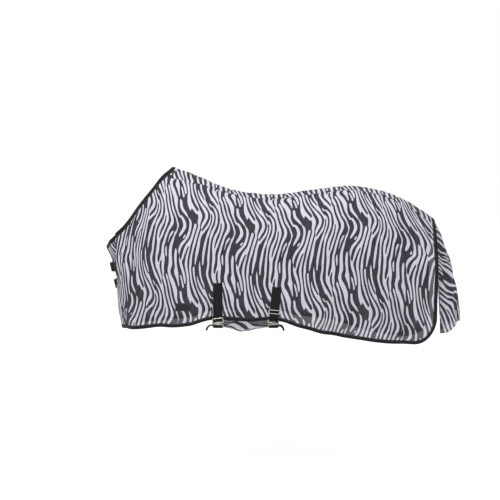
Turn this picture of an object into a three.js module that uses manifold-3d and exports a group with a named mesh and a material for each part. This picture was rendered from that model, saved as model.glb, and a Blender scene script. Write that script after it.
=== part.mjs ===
// A fly sheet for a horse: printed mesh over back and sides, a chest closed by two straps,
// a belly flap hooked to two straps on the left side, and a flap over the tail.
//
// Millimetres. +X runs from the chest to the tail, +Z is up and the left side faces -Y.
// The origin is at the withers, where the neck edge meets the top line.

import * as THREE from 'three';
import Module from 'manifold-3d';
import { mergeVertices } from 'three/addons/utils/BufferGeometryUtils.js';

const wasm = await Module();
wasm.setup();

// ---- driving dimensions -------------------------------------------------------------------

const CLOTH = 3; // thickness of a cloth panel
const BINDING_WIDTH = 20; // edge tape, seen from outside
const BINDING_PROUD = 1; // how far the tape stands out of the cloth on each face
const WEBBING_WIDTH = 50;
const WEBBING = 3;
const SEAM_GAP = 3; // between two pieces that are sewn edge to edge
const LAY_GAP = 0.7; // between two pieces that lie on each other

const SHOULDER_X = -120; // the rounded chest meets the straight side here
const REAR_X = 1412; // rear edge of both sides
const WITHERS_SEAM_X = 27; // where the neck tape's inner edge crosses the top line
const SPINE_HALF = 50; // half width of the strip along the back

const CHEST_HALF = 205; // half widths of the horse's body under the sheet
const BARREL_HALF = 290;
const RUMP_NARROWING = 105;
const BARREL_X = 150;
const HIP_X = 900;

const NECK_SLOPE = 1.155; // the neck edge falls this much per millimetre forward
const NECK_ROUNDING = 18; // extra fall at the very front
const CHEST_TOP_X = -361;
const CHEST_TOP_Z = -430;
const CHEST_LEAN = 0.24; // the chest runs back this much per millimetre down

const REAR_CORNER = 95; // radius of the hem's rear corner
const UNDERLAP = 13; // depth of the right chest half below the left one

const TOP_LINE = [
  [0, 0],
  [150, -56],
  [300, -116],
  [450, -146],
  [600, -147],
  [790, -121],
  [985, -104],
  [1160, -139],
  [1300, -199],
  [1412, -275],
];

const HEM_LINE = [
  [-258, -872],
  [-52, -857],
  [100, -846],
  [165, -821],
  [250, -808],
  [420, -819],
  [506, -813],
  [595, -821],
  [690, -856],
  [895, -900],
  [1105, -934],
  [1240, -948],
  [1412, -948],
];

// ---- the body that the sheet lies on ------------------------------------------------------

const { clamp, lerp, smoothstep } = THREE.MathUtils;

// A smooth height over x through a few points.
function lineThrough(points) {
  const xs = points.map((point) => point[0]);
  const heights = points.map((point) => point[1]);
  const interpolant = new THREE.CubicInterpolant(xs, heights, 1);
  return (x) => interpolant.evaluate(clamp(x, xs[0], xs.at(-1)))[0];
}

const topLine = lineThrough(TOP_LINE);
const hemLine = lineThrough(HEM_LINE);

// The back's ridge, which rises into the neck in front of the withers.
const ridge = (x) => (x < 0 ? -0.55 * x : topLine(x));

// Depth below the ridge at which the body is widest.
const shoulderDrop = (x) => lerp(420, 340, smoothstep(x, 0, 300));

// Power of the section: the withers are sharp and the back is round.
const sharpness = (x) => 2 * lerp(0.8, 0.6, smoothstep(x, 0, 350));

function widest(x) {
  const barrel = lerp(CHEST_HALF, BARREL_HALF, smoothstep(x, SHOULDER_X, BARREL_X));
  const past = clamp((x - HIP_X) / (REAR_X - HIP_X), 0, 1);
  return barrel - RUMP_NARROWING * past ** 2.4;
}

// The sides draw in a little towards the belly.
const tuck = (z) => 30 * (Math.max(0, -500 - z) / 350) ** 2;

// The section's angle tau runs from 0 on the ridge to a right angle where the body is widest.
const QUARTER = Math.PI / 2;

function dropAt(x, tau) {
  const drop = shoulderDrop(x);
  return Math.abs(tau) < QUARTER ? drop * (1 - Math.cos(tau)) : drop * (1 + Math.abs(tau) - QUARTER);
}

function tauAt(x, z) {
  const share = Math.max(0, ridge(x) - z) / shoulderDrop(x);
  return share < 1 ? Math.acos(1 - share) : QUARTER + share - 1;
}

function halfWidth(x, tau) {
  const height = ridge(x) - dropAt(x, tau);
  const bulge = Math.sin(Math.min(Math.abs(tau), QUARTER)) ** sharpness(x);
  return Math.sign(tau) * (widest(x) * bulge - tuck(height));
}

const chestFront = (z) => CHEST_TOP_X + CHEST_LEAN * (CHEST_TOP_Z - z);

// Station g: 0 to 1 runs along the side, 0 to -1 round the chest to its middle, and below -1
// round to the other side. side is -1 on the left and 1 on the right.
const stationX = (g) => SHOULDER_X + Math.max(g, 0) * (REAR_X - SHOULDER_X);
const stationOf = (x) => (x - SHOULDER_X) / (REAR_X - SHOULDER_X);
const reachAt = (z) => SHOULDER_X - chestFront(z);

function skin(g, tau, side) {
  const x = stationX(g);
  const z = ridge(x) - dropAt(x, tau);
  const turn = -Math.min(g, 0) * QUARTER;
  const front = g < 0 ? x - reachAt(z) * Math.sin(turn) : x;
  return new THREE.Vector3(front, side * halfWidth(x, tau) * Math.cos(turn), z);
}

function outward(g, tau, side) {
  const step = 1e-3;
  const along = skin(g + step, tau, side).sub(skin(g - step, tau, side));
  const down = skin(g, tau + step, side).sub(skin(g, tau - step, side));
  return along.cross(down).multiplyScalar(side).normalize();
}

// The seen x of a station at a height, for edges that are drawn as the side view shows them.
function xAt(g, z) {
  const turn = -Math.min(g, 0) * QUARTER;
  return stationX(g) - (g < 0 ? reachAt(z) * Math.sin(turn) : 0);
}

// Height at which station g meets an edge given as z over x.
function meet(g, edge) {
  let z = edge(xAt(g, CHEST_TOP_Z));
  for (let round = 0; round < 12; round += 1) {
    z = lerp(z, edge(xAt(g, z)), 0.7);
  }
  return z;
}

// ---- edges, each with an inset from the sheet's outline -----------------------------------

const neckEdge = (inset) => (x) =>
  NECK_SLOPE * x - NECK_ROUNDING * clamp(x / CHEST_TOP_X, 0, 1) ** 24 -
  inset * Math.hypot(1, NECK_SLOPE);

function hemEdge(inset) {
  const cornerX = REAR_X - REAR_CORNER;
  return (x) => {
    const slope = (hemLine(x + 1) - hemLine(x - 1)) / 2;
    const across = clamp(x - cornerX, 0, REAR_CORNER - inset);
    const rise = REAR_CORNER - inset - Math.sqrt((REAR_CORNER - inset) ** 2 - across ** 2);
    return hemLine(x) + inset * Math.hypot(1, Math.min(0, slope)) + rise;
  };
}

// The section's angle at a half width above the widest part.
const tauAcross = (x, half) => Math.asin((half / widest(x)) ** (1 / sharpness(x)));

// Top of the cloth at station g: the neck edge in front, the spine strip behind.
function clothTop(g, inset) {
  const x = stationX(g);
  const neck = tauAt(x, meet(g, neckEdge(inset)));
  return x < 0 ? neck : Math.max(neck, tauAcross(x, SPINE_HALF + SEAM_GAP));
}

const clothBottom = (g, inset) => tauAt(stationX(g), meet(g, hemEdge(inset)));

// ---- solids -------------------------------------------------------------------------------

// A box whose vertices are moved to pointAt(u, v, w); u and v run 0 to 1 over its face, and w
// is 0 on its inner face and 1 on its outer one.
function bend(columns, rows, pointAt) {
  const geometry = new THREE.BoxGeometry(1, 1, 1, columns, rows, 1);
  const position = geometry.attributes.position;
  for (let i = 0; i < position.count; i += 1) {
    const w = position.getZ(i) + 0.5;
    const point = pointAt(position.getX(i) + 0.5, position.getY(i) + 0.5, w);
    position.setXYZ(i, point.x, point.y, point.z);
  }
  return facingOut(geometry);
}

// A slab bent over the body. place(u, v) gives [station, tau], and the layer's two functions
// give how far its inner and outer faces stand out from the body at a station.
function slab(columns, rows, place, layer, side) {
  return bend(columns, rows, (u, v, w) => {
    const [g, tau] = place(u, v);
    const offset = w < 0.5 ? layer.inner(g) : layer.outer(g);
    return skin(g, tau, side).addScaledVector(outward(g, tau, side), offset);
  });
}

const layer = (inner, outer) => ({ inner: () => inner, outer: () => outer });
const CLOTH_LAYER = layer(-CLOTH, 0);
const TAPE_LAYER = layer(-CLOTH - BINDING_PROUD, BINDING_PROUD);

// The right chest half sinks below the left one before the middle of the chest.
const sinkAt = (g) => UNDERLAP * smoothstep(-g, 0.35, 0.75);

const underlapping = ({ inner, outer }) => ({
  inner: (g) => inner(g) - sinkAt(g),
  outer: (g) => outer(g) - sinkAt(g),
});

// A slab on a free surface(u, v), between two offsets along its normal.
function shell(columns, rows, surface, inner, outer) {
  const step = 1e-3;
  return bend(columns, rows, (u, v, w) => {
    const along = surface(u + step, v).sub(surface(u - step, v));
    const down = surface(u, v + step).sub(surface(u, v - step));
    const normal = along.cross(down).normalize();
    return surface(u, v).addScaledVector(normal, w < 0.5 ? inner : outer);
  });
}

// A tape along a path of frames { point, normal, across }.
function tape(frames, width) {
  return bend(frames.length - 1, 1, (u, v, w) => {
    const { point, normal, across } = frames[Math.round(u * (frames.length - 1))];
    const vertex = point.clone().addScaledVector(across, (v - 0.5) * width);
    return vertex.addScaledVector(normal, (w - 0.5) * WEBBING);
  });
}

// Frames along a flat path of THREE.Vector2 points, in the plane of two directions.
function framesInPlane(points, origin, first, second) {
  const across = new THREE.Vector3().crossVectors(first, second);
  return points.map((point, i) => {
    const before = points[Math.max(i - 1, 0)];
    const after = points[Math.min(i + 1, points.length - 1)];
    const run = after.clone().sub(before).normalize();
    const place = origin.clone().addScaledVector(first, point.x).addScaledVector(second, point.y);
    const normal = new THREE.Vector3().addScaledVector(first, -run.y).addScaledVector(second, run.x);
    return { point: place, normal, across };
  });
}

function signedVolume(geometry) {
  const { position } = geometry.attributes;
  const [a, b, c] = [new THREE.Vector3(), new THREE.Vector3(), new THREE.Vector3()];
  let volume = 0;
  for (let i = 0; i < geometry.index.count; i += 3) {
    a.fromBufferAttribute(position, geometry.index.getX(i));
    b.fromBufferAttribute(position, geometry.index.getX(i + 1));
    c.fromBufferAttribute(position, geometry.index.getX(i + 2));
    volume += a.dot(b.cross(c)) / 6;
  }
  return volume;
}

// Turns a bent box's faces outward where the bending mirrored it.
function facingOut(geometry) {
  if (signedVolume(geometry) < 0) {
    const order = Array.from(geometry.index.array);
    geometry.setIndex(order.reverse());
  }
  geometry.computeVertexNormals();
  return geometry;
}

function toSolid(geometry) {
  const bare = geometry.clone();
  bare.deleteAttribute('normal');
  bare.deleteAttribute('uv');
  const merged = mergeVertices(bare, 1e-4);
  const vertProperties = new Float32Array(merged.attributes.position.array);
  const triVerts = new Uint32Array(merged.index.array);
  return new wasm.Manifold(new wasm.Mesh({ numProp: 3, vertProperties, triVerts }));
}

function joined(geometries) {
  const solid = geometries.map(toSolid).reduce((sum, next) => sum.add(next));
  const mesh = solid.getMesh();
  const geometry = new THREE.BufferGeometry();
  geometry.setAttribute('position', new THREE.BufferAttribute(mesh.vertProperties, 3));
  geometry.setIndex(new THREE.BufferAttribute(mesh.triVerts, 1));
  geometry.computeVertexNormals();
  return geometry;
}

// ---- materials and assembly ---------------------------------------------------------------

const finish = (color, roughness, metalness = 0) =>
  new THREE.MeshStandardMaterial({ color, roughness, metalness });

const printedMesh = () => finish(0xd4d4e2, 0.85);
const blackTape = () => finish(0x242528, 0.8);
const webbing = () => finish(0x1f2023, 0.75);
const nickel = () => finish(0xb9b5a8, 0.3, 1);
const labelCloth = () => finish(0x26282c, 0.6);

const sheet = new THREE.Group();

function add(name, geometry, material, parent = sheet) {
  const mesh = new THREE.Mesh(geometry, material);
  mesh.name = name;
  parent.add(mesh);
  return mesh;
}

const LEFT = -1;
const RIGHT = 1;
const INSET = BINDING_WIDTH + SEAM_GAP;
const HINGE_G = -0.27; // the left chest half turns about this station
const HINGE_GAP = 0.004;
const UNDERLAP_G = -1.36; // the right chest half ends here, under the left one

// ---- cloth panels -------------------------------------------------------------------------

// Front edge of the left chest half: straight down in the side view, then round to the middle.
const FRONT_EDGE_X = -299;

function frontEdge(z) {
  const sine = Math.min(0.998, (SHOULDER_X - FRONT_EDGE_X) / reachAt(z));
  return -Math.asin(sine) / QUARTER;
}

const spread = (first, last, steps) =>
  Array.from({ length: steps + 1 }, (_, i) => lerp(first, last, i / steps));

// Stations of a side panel, close together at the withers and round the rear corner.
function panelStations(first) {
  const cornerX = REAR_X - REAR_CORNER;
  const turns = spread(0, QUARTER, 5).slice(1);
  const corner = turns.map((turn) => cornerX + (REAR_CORNER - INSET) * Math.sin(turn));
  const front = spread(first, stationOf(-40), Math.round(-16 * first)).slice(0, -1);
  const back = [...spread(-32, 32, 4), ...spread(62, cornerX, 25), ...corner];
  return [...front, ...back.map(stationOf)];
}

// A side panel from its front station to the rear, inside its neck and hem tapes.
function panel(first, clothLayer, side) {
  const stations = panelStations(first);
  const columns = stations.length - 1;
  const place = (u, v) => {
    const g = stations[Math.round(u * columns)];
    return [g, lerp(clothTop(g, INSET), clothBottom(g, INSET), v)];
  };
  return slab(columns, 11, place, clothLayer, side);
}

// The left chest half's front edge runs back as it goes down, so height and station are
// found together.
function chestFlap() {
  const place = (u, v) => {
    let z = CHEST_TOP_Z;
    let g = HINGE_G;
    for (let round = 0; round < 12; round += 1) {
      g = lerp(frontEdge(z), HINGE_G - HINGE_GAP, u);
      z = lerp(meet(g, neckEdge(INSET)), meet(g, hemEdge(INSET)), v);
    }
    return [g, tauAt(SHOULDER_X, z)];
  };
  return slab(8, 11, place, CLOTH_LAYER, LEFT);
}

// Where the neck tape's inner edge lies at a half width, so that the spine strip can meet it.
function neckSeamX(half) {
  let x = WITHERS_SEAM_X;
  for (let round = 0; round < 30; round += 1) {
    const tau = tauAcross(x, half);
    const seam = (ridge(x) - dropAt(x, tau) + INSET * Math.hypot(1, NECK_SLOPE)) / NECK_SLOPE;
    x = lerp(x, seam, 0.5);
  }
  return x + 2 * SEAM_GAP;
}

function spineStrip() {
  const last = REAR_X - INSET;
  const place = (u, v) => {
    const half = (2 * v - 1) * SPINE_HALF;
    const x = lerp(neckSeamX(Math.abs(half)), last, u);
    return [stationOf(x), Math.sign(half) * tauAcross(x, Math.abs(half))];
  };
  return slab(36, 4, place, CLOTH_LAYER, RIGHT);
}

const hingeRearG = HINGE_G + HINGE_GAP;
add('spine_strip', spineStrip(), printedMesh());
add('left_side_panel', panel(hingeRearG, CLOTH_LAYER, LEFT), printedMesh());
add('left_chest_flap', chestFlap(), printedMesh());
add('right_side_panel', panel(UNDERLAP_G, underlapping(CLOTH_LAYER), RIGHT), printedMesh());

// ---- edge tapes ---------------------------------------------------------------------------

const MIDDLE_TAU = 0.06; // keeps the two sides' tapes apart on the middle line

// The neck tape from the chest up over the side of the neck, ending at the withers.
function neckTapeToWithers(columns, first, tapeLayer, side) {
  const place = (u, v) => {
    const inset = v * BINDING_WIDTH;
    const end = stationOf((WITHERS_SEAM_X * inset) / BINDING_WIDTH);
    const g = lerp(first, end, Math.sin(u * QUARTER) ** 0.8);
    const z = meet(g, neckEdge(inset));
    return [g, Math.max(MIDDLE_TAU, tauAt(stationX(g), z))];
  };
  return slab(columns, 1, place, tapeLayer, side);
}

// A tape along an edge of the left chest half, from its front edge to the hinge line.
function chestTape(edge, frontZ) {
  const place = (u, v) => {
    const g = lerp(frontEdge(frontZ), HINGE_G - HINGE_GAP, u);
    return [g, tauAt(SHOULDER_X, meet(g, edge(v * BINDING_WIDTH)))];
  };
  return slab(6, 1, place, TAPE_LAYER, LEFT);
}

// The hem tape runs along the bottom and then round the rear corner.
const CORNER_SHARE = 0.85;

function hemTape(columns, first, tapeLayer, side) {
  const cornerX = REAR_X - REAR_CORNER;
  const place = (u, v) => {
    const inset = v * BINDING_WIDTH;
    if (u < CORNER_SHARE) {
      const g = lerp(first, stationOf(cornerX), u / CORNER_SHARE);
      return [g, tauAt(stationX(g), meet(g, hemEdge(inset)))];
    }
    const turn = ((u - CORNER_SHARE) / (1 - CORNER_SHARE)) * QUARTER;
    const radius = REAR_CORNER - inset;
    const x = cornerX + radius * Math.sin(turn);
    const z = hemLine(cornerX) + REAR_CORNER - radius * Math.cos(turn);
    return [stationOf(x), tauAt(x, z)];
  };
  return slab(columns, 1, place, tapeLayer, side);
}

function rearTape(side) {
  const cornerZ = hemLine(REAR_X - REAR_CORNER) + REAR_CORNER + SEAM_GAP;
  const place = (u, v) => {
    const x = REAR_X - v * BINDING_WIDTH;
    return [stationOf(x), lerp(tauAt(x, cornerZ), MIDDLE_TAU, u)];
  };
  return slab(14, 1, place, TAPE_LAYER, side);
}

const rightTape = underlapping(TAPE_LAYER);
add('left_neck_binding', neckTapeToWithers(12, hingeRearG, TAPE_LAYER, LEFT), blackTape());
add('left_chest_neck_binding', chestTape(neckEdge, CHEST_TOP_Z + 55), blackTape());
add('right_neck_binding', neckTapeToWithers(26, UNDERLAP_G, rightTape, RIGHT), blackTape());
add('left_hem_binding', hemTape(40, hingeRearG, TAPE_LAYER, LEFT), blackTape());
add('left_chest_hem_binding', chestTape(hemEdge, -870), blackTape());
add('right_hem_binding', hemTape(54, UNDERLAP_G, rightTape, RIGHT), blackTape());
add('left_rear_binding', rearTape(LEFT), blackTape());
add('right_rear_binding', rearTape(RIGHT), blackTape());

// ---- tail flap ----------------------------------------------------------------------------

// A trough round the horse's tail, sewn behind the rear edge at the dock.
const TAIL_TOP_HALF = 60; // half widths at its top and from a third of the way down
const TAIL_HALF = 112;
const TAIL_LENGTH = 581; // down the middle; the side edges hang SIDE_DROP lower
const SIDE_DROP = 14;
const TAIL_TOP_X = REAR_X + 5;
const TAIL_BACK = [
  [0, 1418],
  [37, 1440],
  [124, 1478],
  [300, 1527],
  [507, 1564],
  [590, 1568],
]; // how far back the middle stands, over its depth below the dock

const tailBack = lineThrough(TAIL_BACK);

function tailSurface(u, v) {
  const turn = (2 * u - 1) * QUARTER;
  const down = clamp(v, 0, 1.01);
  const half = lerp(TAIL_TOP_HALF, TAIL_HALF, smoothstep(down, 0, 0.4));
  const length = TAIL_LENGTH + SIDE_DROP * Math.sin(turn) ** 2;
  const frontX = TAIL_TOP_X + 32 * down ** 0.6;
  const depth = Math.max(0, tailBack(down * TAIL_LENGTH) - frontX) * Math.abs(Math.cos(turn)) ** 0.7;
  const y = half * Math.sin(turn);
  const sideFall = 27 * Math.sin(turn) ** 2;
  return new THREE.Vector3(frontX + depth, y, topLine(REAR_X) - 3 - sideFall - v * length);
}

add('tail_flap', shell(12, 12, tailSurface, 0, CLOTH), printedMesh());

// ---- belly flap ---------------------------------------------------------------------------

// It is sewn inside the right hem, passes under the belly and is hooked up on the left.
const BELLY_FAR_Y = 252;
const BELLY_NEAR_Y = -222;
const BELLY_FAR_Z = -818;
const BELLY_NEAR_Z = -850;
const BELLY_LOW_Z = -884;
const BELLY_FAR_X = [205, 590];
const BELLY_NEAR_X = [222, 570];
const BELLY_SAG = 18; // the near edge hangs this far lower between its straps

const bellyY = (s) => lerp(BELLY_FAR_Y, BELLY_NEAR_Y, s);

// Height of the flap's lower face: a parabola through the two edges and the lowest point.
function bellyZ(s) {
  const low = BELLY_FAR_Y / (BELLY_FAR_Y - BELLY_NEAR_Y);
  const fall = BELLY_LOW_Z - BELLY_FAR_Z - low * (BELLY_NEAR_Z - BELLY_FAR_Z);
  return lerp(BELLY_FAR_Z, BELLY_NEAR_Z, s) + (fall * s * (1 - s)) / (low * (1 - low));
}

function bellySurface(u, s) {
  const first = lerp(BELLY_FAR_X[0], BELLY_NEAR_X[0], s);
  const last = lerp(BELLY_FAR_X[1], BELLY_NEAR_X[1], s);
  const middle = clamp((u - 0.17) / 0.66, 0, 1);
  const sag = BELLY_SAG * s * Math.sin(middle * Math.PI) ** 2;
  return new THREE.Vector3(lerp(first, last, u), bellyY(s), bellyZ(s) - sag);
}

const bellyPart = (u0, u1, s0, s1) => (u, v) => bellySurface(lerp(u0, u1, u), lerp(s0, s1, v));
const tapeShare = BINDING_WIDTH / (BELLY_FAR_X[1] - BELLY_FAR_X[0]);
const seamShare = SEAM_GAP / (BELLY_FAR_X[1] - BELLY_FAR_X[0]);
const nearShare = 1 - BINDING_WIDTH / (BELLY_FAR_Y - BELLY_NEAR_Y);

function bellyPiece(name, columns, rows, surface, proud, material) {
  add(name, shell(columns, rows, surface, -CLOTH - proud, proud), material);
}

const clothFrom = tapeShare + seamShare;
const clothTo = nearShare - SEAM_GAP / (BELLY_FAR_Y - BELLY_NEAR_Y);
const bellyCloth = bellyPart(clothFrom, 1 - clothFrom, 0, clothTo);
bellyPiece('belly_flap', 12, 12, bellyCloth, 0, printedMesh());
bellyPiece('belly_flap_front_binding', 1, 12, bellyPart(0, tapeShare, 0, 1), BINDING_PROUD, blackTape());
bellyPiece('belly_flap_rear_binding', 1, 12, bellyPart(1 - tapeShare, 1, 0, 1), BINDING_PROUD, blackTape());
const nearEdge = bellyPart(clothFrom, 1 - clothFrom, nearShare, 1);
bellyPiece('belly_flap_near_binding', 12, 1, nearEdge, BINDING_PROUD, blackTape());

// ---- metal fittings, all cut from plate ---------------------------------------------------

const PLATE = 3;
const BAR = 4;
const WRAP = 4.5; // radius of the webbing's middle where it goes round a bar
const SLOT_HALF = 26.5;
const FITTING_HALF = 31;

function roundedBox(shape, left, bottom, right, top, radius) {
  shape.moveTo(left + radius, bottom);
  shape.lineTo(right - radius, bottom);
  shape.absarc(right - radius, bottom + radius, radius, -QUARTER, 0);
  shape.lineTo(right, top - radius);
  shape.absarc(right - radius, top - radius, radius, 0, QUARTER);
  shape.lineTo(left + radius, top);
  shape.absarc(left + radius, top - radius, radius, QUARTER, 2 * QUARTER);
  shape.lineTo(left, bottom + radius);
  shape.absarc(left + radius, bottom + radius, radius, 2 * QUARTER, 3 * QUARTER);
  return shape;
}

// A plate in the fitting's own plane, its thickness centred on it.
function plate(shape, thickness) {
  const geometry = new THREE.ExtrudeGeometry(shape, {
    depth: thickness,
    bevelEnabled: false,
    curveSegments: 3,
  });
  return geometry.translate(0, 0, -thickness / 2);
}

// A ring whose origin is the bar that the webbing goes round. With a third bar above that
// one it is also the strap's slide.
function ring(hasUpperBar) {
  const top = hasUpperBar ? 12 : BAR / 2;
  const shape = roundedBox(new THREE.Shape(), -FITTING_HALF, -15, FITTING_HALF, top, hasUpperBar ? 4 : 2);
  shape.holes.push(roundedBox(new THREE.Path(), -SLOT_HALF, -11, SLOT_HALF, -BAR / 2, 1.5));
  if (hasUpperBar) {
    shape.holes.push(roundedBox(new THREE.Path(), -SLOT_HALF, BAR / 2, SLOT_HALF, 8, 1.5));
  }
  return plate(shape, PLATE);
}

// A T hook whose origin is its slotted foot's outer bar; the T stands HOOK_REACH above it.
const HOOK_REACH = 21;

function tHook() {
  const shape = new THREE.Shape();
  shape.moveTo(-FITTING_HALF + 2, -2);
  shape.lineTo(FITTING_HALF - 2, -2);
  shape.lineTo(FITTING_HALF, 0);
  shape.lineTo(FITTING_HALF, 9);
  shape.lineTo(FITTING_HALF - 3, 12);
  shape.lineTo(12, 12);
  shape.lineTo(5, 15);
  shape.lineTo(5, HOOK_REACH - 3.5);
  shape.lineTo(17, HOOK_REACH - 3.5);
  shape.lineTo(17, HOOK_REACH);
  shape.lineTo(-17, HOOK_REACH);
  shape.lineTo(-17, HOOK_REACH - 3.5);
  shape.lineTo(-5, HOOK_REACH - 3.5);
  shape.lineTo(-5, 15);
  shape.lineTo(-12, 12);
  shape.lineTo(-FITTING_HALF + 3, 12);
  shape.lineTo(-FITTING_HALF, 9);
  shape.lineTo(-FITTING_HALF, 0);
  shape.holes.push(roundedBox(new THREE.Path(), -SLOT_HALF, BAR / 2, SLOT_HALF, 9, 1));
  return plate(shape, PLATE);
}

// A slide: a frame in front of the webbing and a bar behind it, tied by its two ends.
const SLIDE_HALF = 12;

function slide() {
  const shape = roundedBox(new THREE.Shape(), -FITTING_HALF, -SLIDE_HALF, FITTING_HALF, SLIDE_HALF, 4);
  const hole = roundedBox(new THREE.Path(), -SLOT_HALF, -8, SLOT_HALF, 8, 1.5);
  shape.holes.push(hole);
  const front = plate(shape, 2.5).translate(0, 0, 3.3);
  const behind = new THREE.BoxGeometry(2 * FITTING_HALF - 1, 5, 2.4).translate(0, 0, -3.2);
  const ends = [-1, 1].map((end) =>
    new THREE.BoxGeometry(FITTING_HALF - SLOT_HALF - 0.5, 9, 8).translate(
      (end * (FITTING_HALF + SLOT_HALF)) / 2,
      0,
      -0.2,
    ),
  );
  return joined([front, behind, ...ends]);
}

// ---- belly straps and their fittings ------------------------------------------------------

const RING_Z = -811; // height of the bars that the belly straps end on
const STRAP_X = { front: 251, rear: 545 };
const STRAP_TOP_Z = { front: -613, rear: -634 };
const REAR_SLANT = 0.1; // the rear strap leans back going up, in radians
const RING_OUT = BARREL_HALF - tuck(RING_Z) + 12.5; // the ring's plane, out from the middle
const HOOK_OUT = RING_OUT - 4;
const HOOK_FOOT_Z = RING_Z - 12.5 - HOOK_REACH;

const strapOut = (z, lift) => BARREL_HALF - tuck(z) + lift + WEBBING / 2;

// The strap's side view: down the panel, then round the ring's bar from behind.
function strapPath(topZ, lift) {
  const path = new THREE.Path();
  path.moveTo(strapOut(topZ, LAY_GAP), topZ);
  path.lineTo(strapOut(topZ - 35, LAY_GAP), topZ - 35);
  const steps = 4;
  for (let step = 1; step <= steps; step += 1) {
    const z = lerp(topZ - 50, RING_Z + 12, step / steps);
    path.lineTo(strapOut(z, lift), z);
  }
  path.absarc(RING_OUT, RING_Z, WRAP, 2 * QUARTER, 4.7 * QUARTER);
  return path.getPoints(5);
}

const OUT = new THREE.Vector3(0, -1, 0);
const UP = new THREE.Vector3(0, 0, 1);

// The flap's strap: under the flap, then round the hook's foot from below.
function flapStrapPath() {
  const path = new THREE.Path();
  const clear = BINDING_PROUD + LAY_GAP + WEBBING / 2;
  const run = [0.8, 0.88, 0.96, 1.0];
  run.forEach((s, i) => {
    const point = new THREE.Vector2(-bellyY(s), bellyZ(s) - 1.15 * clear);
    path[i === 0 ? 'moveTo' : 'lineTo'](point.x, point.y);
  });
  path.lineTo(HOOK_OUT - 22, HOOK_FOOT_Z - WRAP - 2);
  path.absarc(HOOK_OUT, HOOK_FOOT_Z, WRAP, -QUARTER, 1.5 * QUARTER);
  return path.getPoints(5);
}

// The free end of the flap's strap, which hangs beside the hook.
function strapTail(x, direction) {
  const start = new THREE.Vector3(x + direction * 33, -(HOOK_OUT - 3), HOOK_FOOT_Z + 3);
  const route = new THREE.CubicBezierCurve3(
    start,
    start.clone().add(new THREE.Vector3(direction * 22, 0, 4)),
    start.clone().add(new THREE.Vector3(direction * 26, 0, -6)),
    start.clone().add(new THREE.Vector3(direction * 33, 0, -28)),
  );
  const across = new THREE.Vector3(0, -Math.cos(0.3), Math.sin(0.3));
  const steps = 6;
  const frames = Array.from({ length: steps + 1 }, (_, i) => {
    const tangent = route.getTangent(i / steps);
    const normal = new THREE.Vector3().crossVectors(across, tangent).normalize();
    return { point: route.getPoint(i / steps), normal, across };
  });
  return tape(frames, 24);
}

function addBellyStrap(which, slant, lift, hasUpperBar) {
  const group = new THREE.Group();
  group.position.set(STRAP_X[which], 0, RING_Z);
  group.rotation.y = slant;
  sheet.add(group);
  const origin = new THREE.Vector3(0, 0, -RING_Z);
  const frames = framesInPlane(strapPath(STRAP_TOP_Z[which], lift), origin, OUT, UP);
  add(`${which}_belly_strap`, tape(frames, WEBBING_WIDTH), webbing(), group);
  const ringMesh = add(`${which}_belly_ring`, ring(hasUpperBar), nickel(), group);
  ringMesh.rotation.x = QUARTER;
  ringMesh.position.y = -RING_OUT;
  return group;
}

function addFlapStrap(which, tailDirection) {
  const x = STRAP_X[which];
  const origin = new THREE.Vector3(x, 0, 0);
  const frames = framesInPlane(flapStrapPath(), origin, OUT, UP);
  add(`${which}_flap_strap`, tape(frames, WEBBING_WIDTH), webbing());
  const hook = add(`${which}_belly_hook`, tHook(), nickel());
  hook.rotation.x = QUARTER;
  hook.position.set(x, -HOOK_OUT, HOOK_FOOT_Z);
  add(`${which}_strap_tail`, strapTail(x, tailDirection), webbing());
}

addBellyStrap('front', 0, LAY_GAP + 2 * BINDING_PROUD, true);
const rearGroup = addBellyStrap('rear', REAR_SLANT, 4, false);
addFlapStrap('front', -1);
addFlapStrap('rear', 1);

// The slide rides on the straight stretch of the rear strap.
const SLIDE_Z = -765;
const slideMesh = add('rear_belly_slide', slide(), nickel(), rearGroup);
slideMesh.position.set(0, -strapOut(SLIDE_Z, 4), SLIDE_Z - RING_Z);
const slideLean = (strapOut(SLIDE_Z + 40, 4) - strapOut(SLIDE_Z - 20, 4)) / 60;
slideMesh.rotation.x = QUARTER + Math.atan(slideLean);

// ---- sewn-on patches ----------------------------------------------------------------------

function patch(x, z, width, height, inner, outer) {
  const place = (u, v) => {
    const at = lerp(x - width / 2, x + width / 2, u);
    return [stationOf(at), tauAt(at, lerp(z + height / 2, z - height / 2, v))];
  };
  return slab(3, 2, place, layer(inner, outer), LEFT);
}

add('label_patch', patch(69, -744, 84, 42, LAY_GAP, LAY_GAP + 1), labelCloth());
const backing = [-CLOTH - LAY_GAP - 1.5, -CLOTH - LAY_GAP];
add('front_strap_backing', patch(251, -640, 64, 54, ...backing), blackTape());
add('rear_strap_backing', patch(562, -661, 64, 54, ...backing), blackTape());

// ---- chest straps and their fittings ------------------------------------------------------

const CHEST_STRAP_Z = { upper: -545, lower: -636 };
const UNDER_FLAP = -7; // middle of the left strap, under the left chest half
const RING_LAYER = -5.5; // the ring's plane, out from the body
const HOOK_LAYER = -0.8;
const RING_BAR_T = 13; // the ring strap's bar, right of the middle
const HOOK_FOOT_T = -21.75;

// The tape's frame on the body at a station and height.
function frameOn(g, z, offset, side) {
  const tau = tauAt(SHOULDER_X, z);
  const normal = outward(g, tau, side);
  const point = skin(g, tau, side).addScaledVector(normal, offset);
  const rise = skin(g, tau - 1e-3, side).sub(skin(g, tau + 1e-3, side)).normalize();
  return { point, normal, across: rise };
}

// Frames along the body and then along a flat path at the middle of the chest. A tape from the
// right runs the other way, so its normals start inward.
function chestTapeFrames(stations, z, offsetAt, side, flatPoints, middle) {
  const lying = stations.map((g) => frameOn(g, z, offsetAt(g), side));
  lying.forEach((frame) => frame.normal.multiplyScalar(-side));
  const flat = framesInPlane(flatPoints, middle.point, middle.first, middle.normal);
  return [...lying, ...flat];
}

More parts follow.
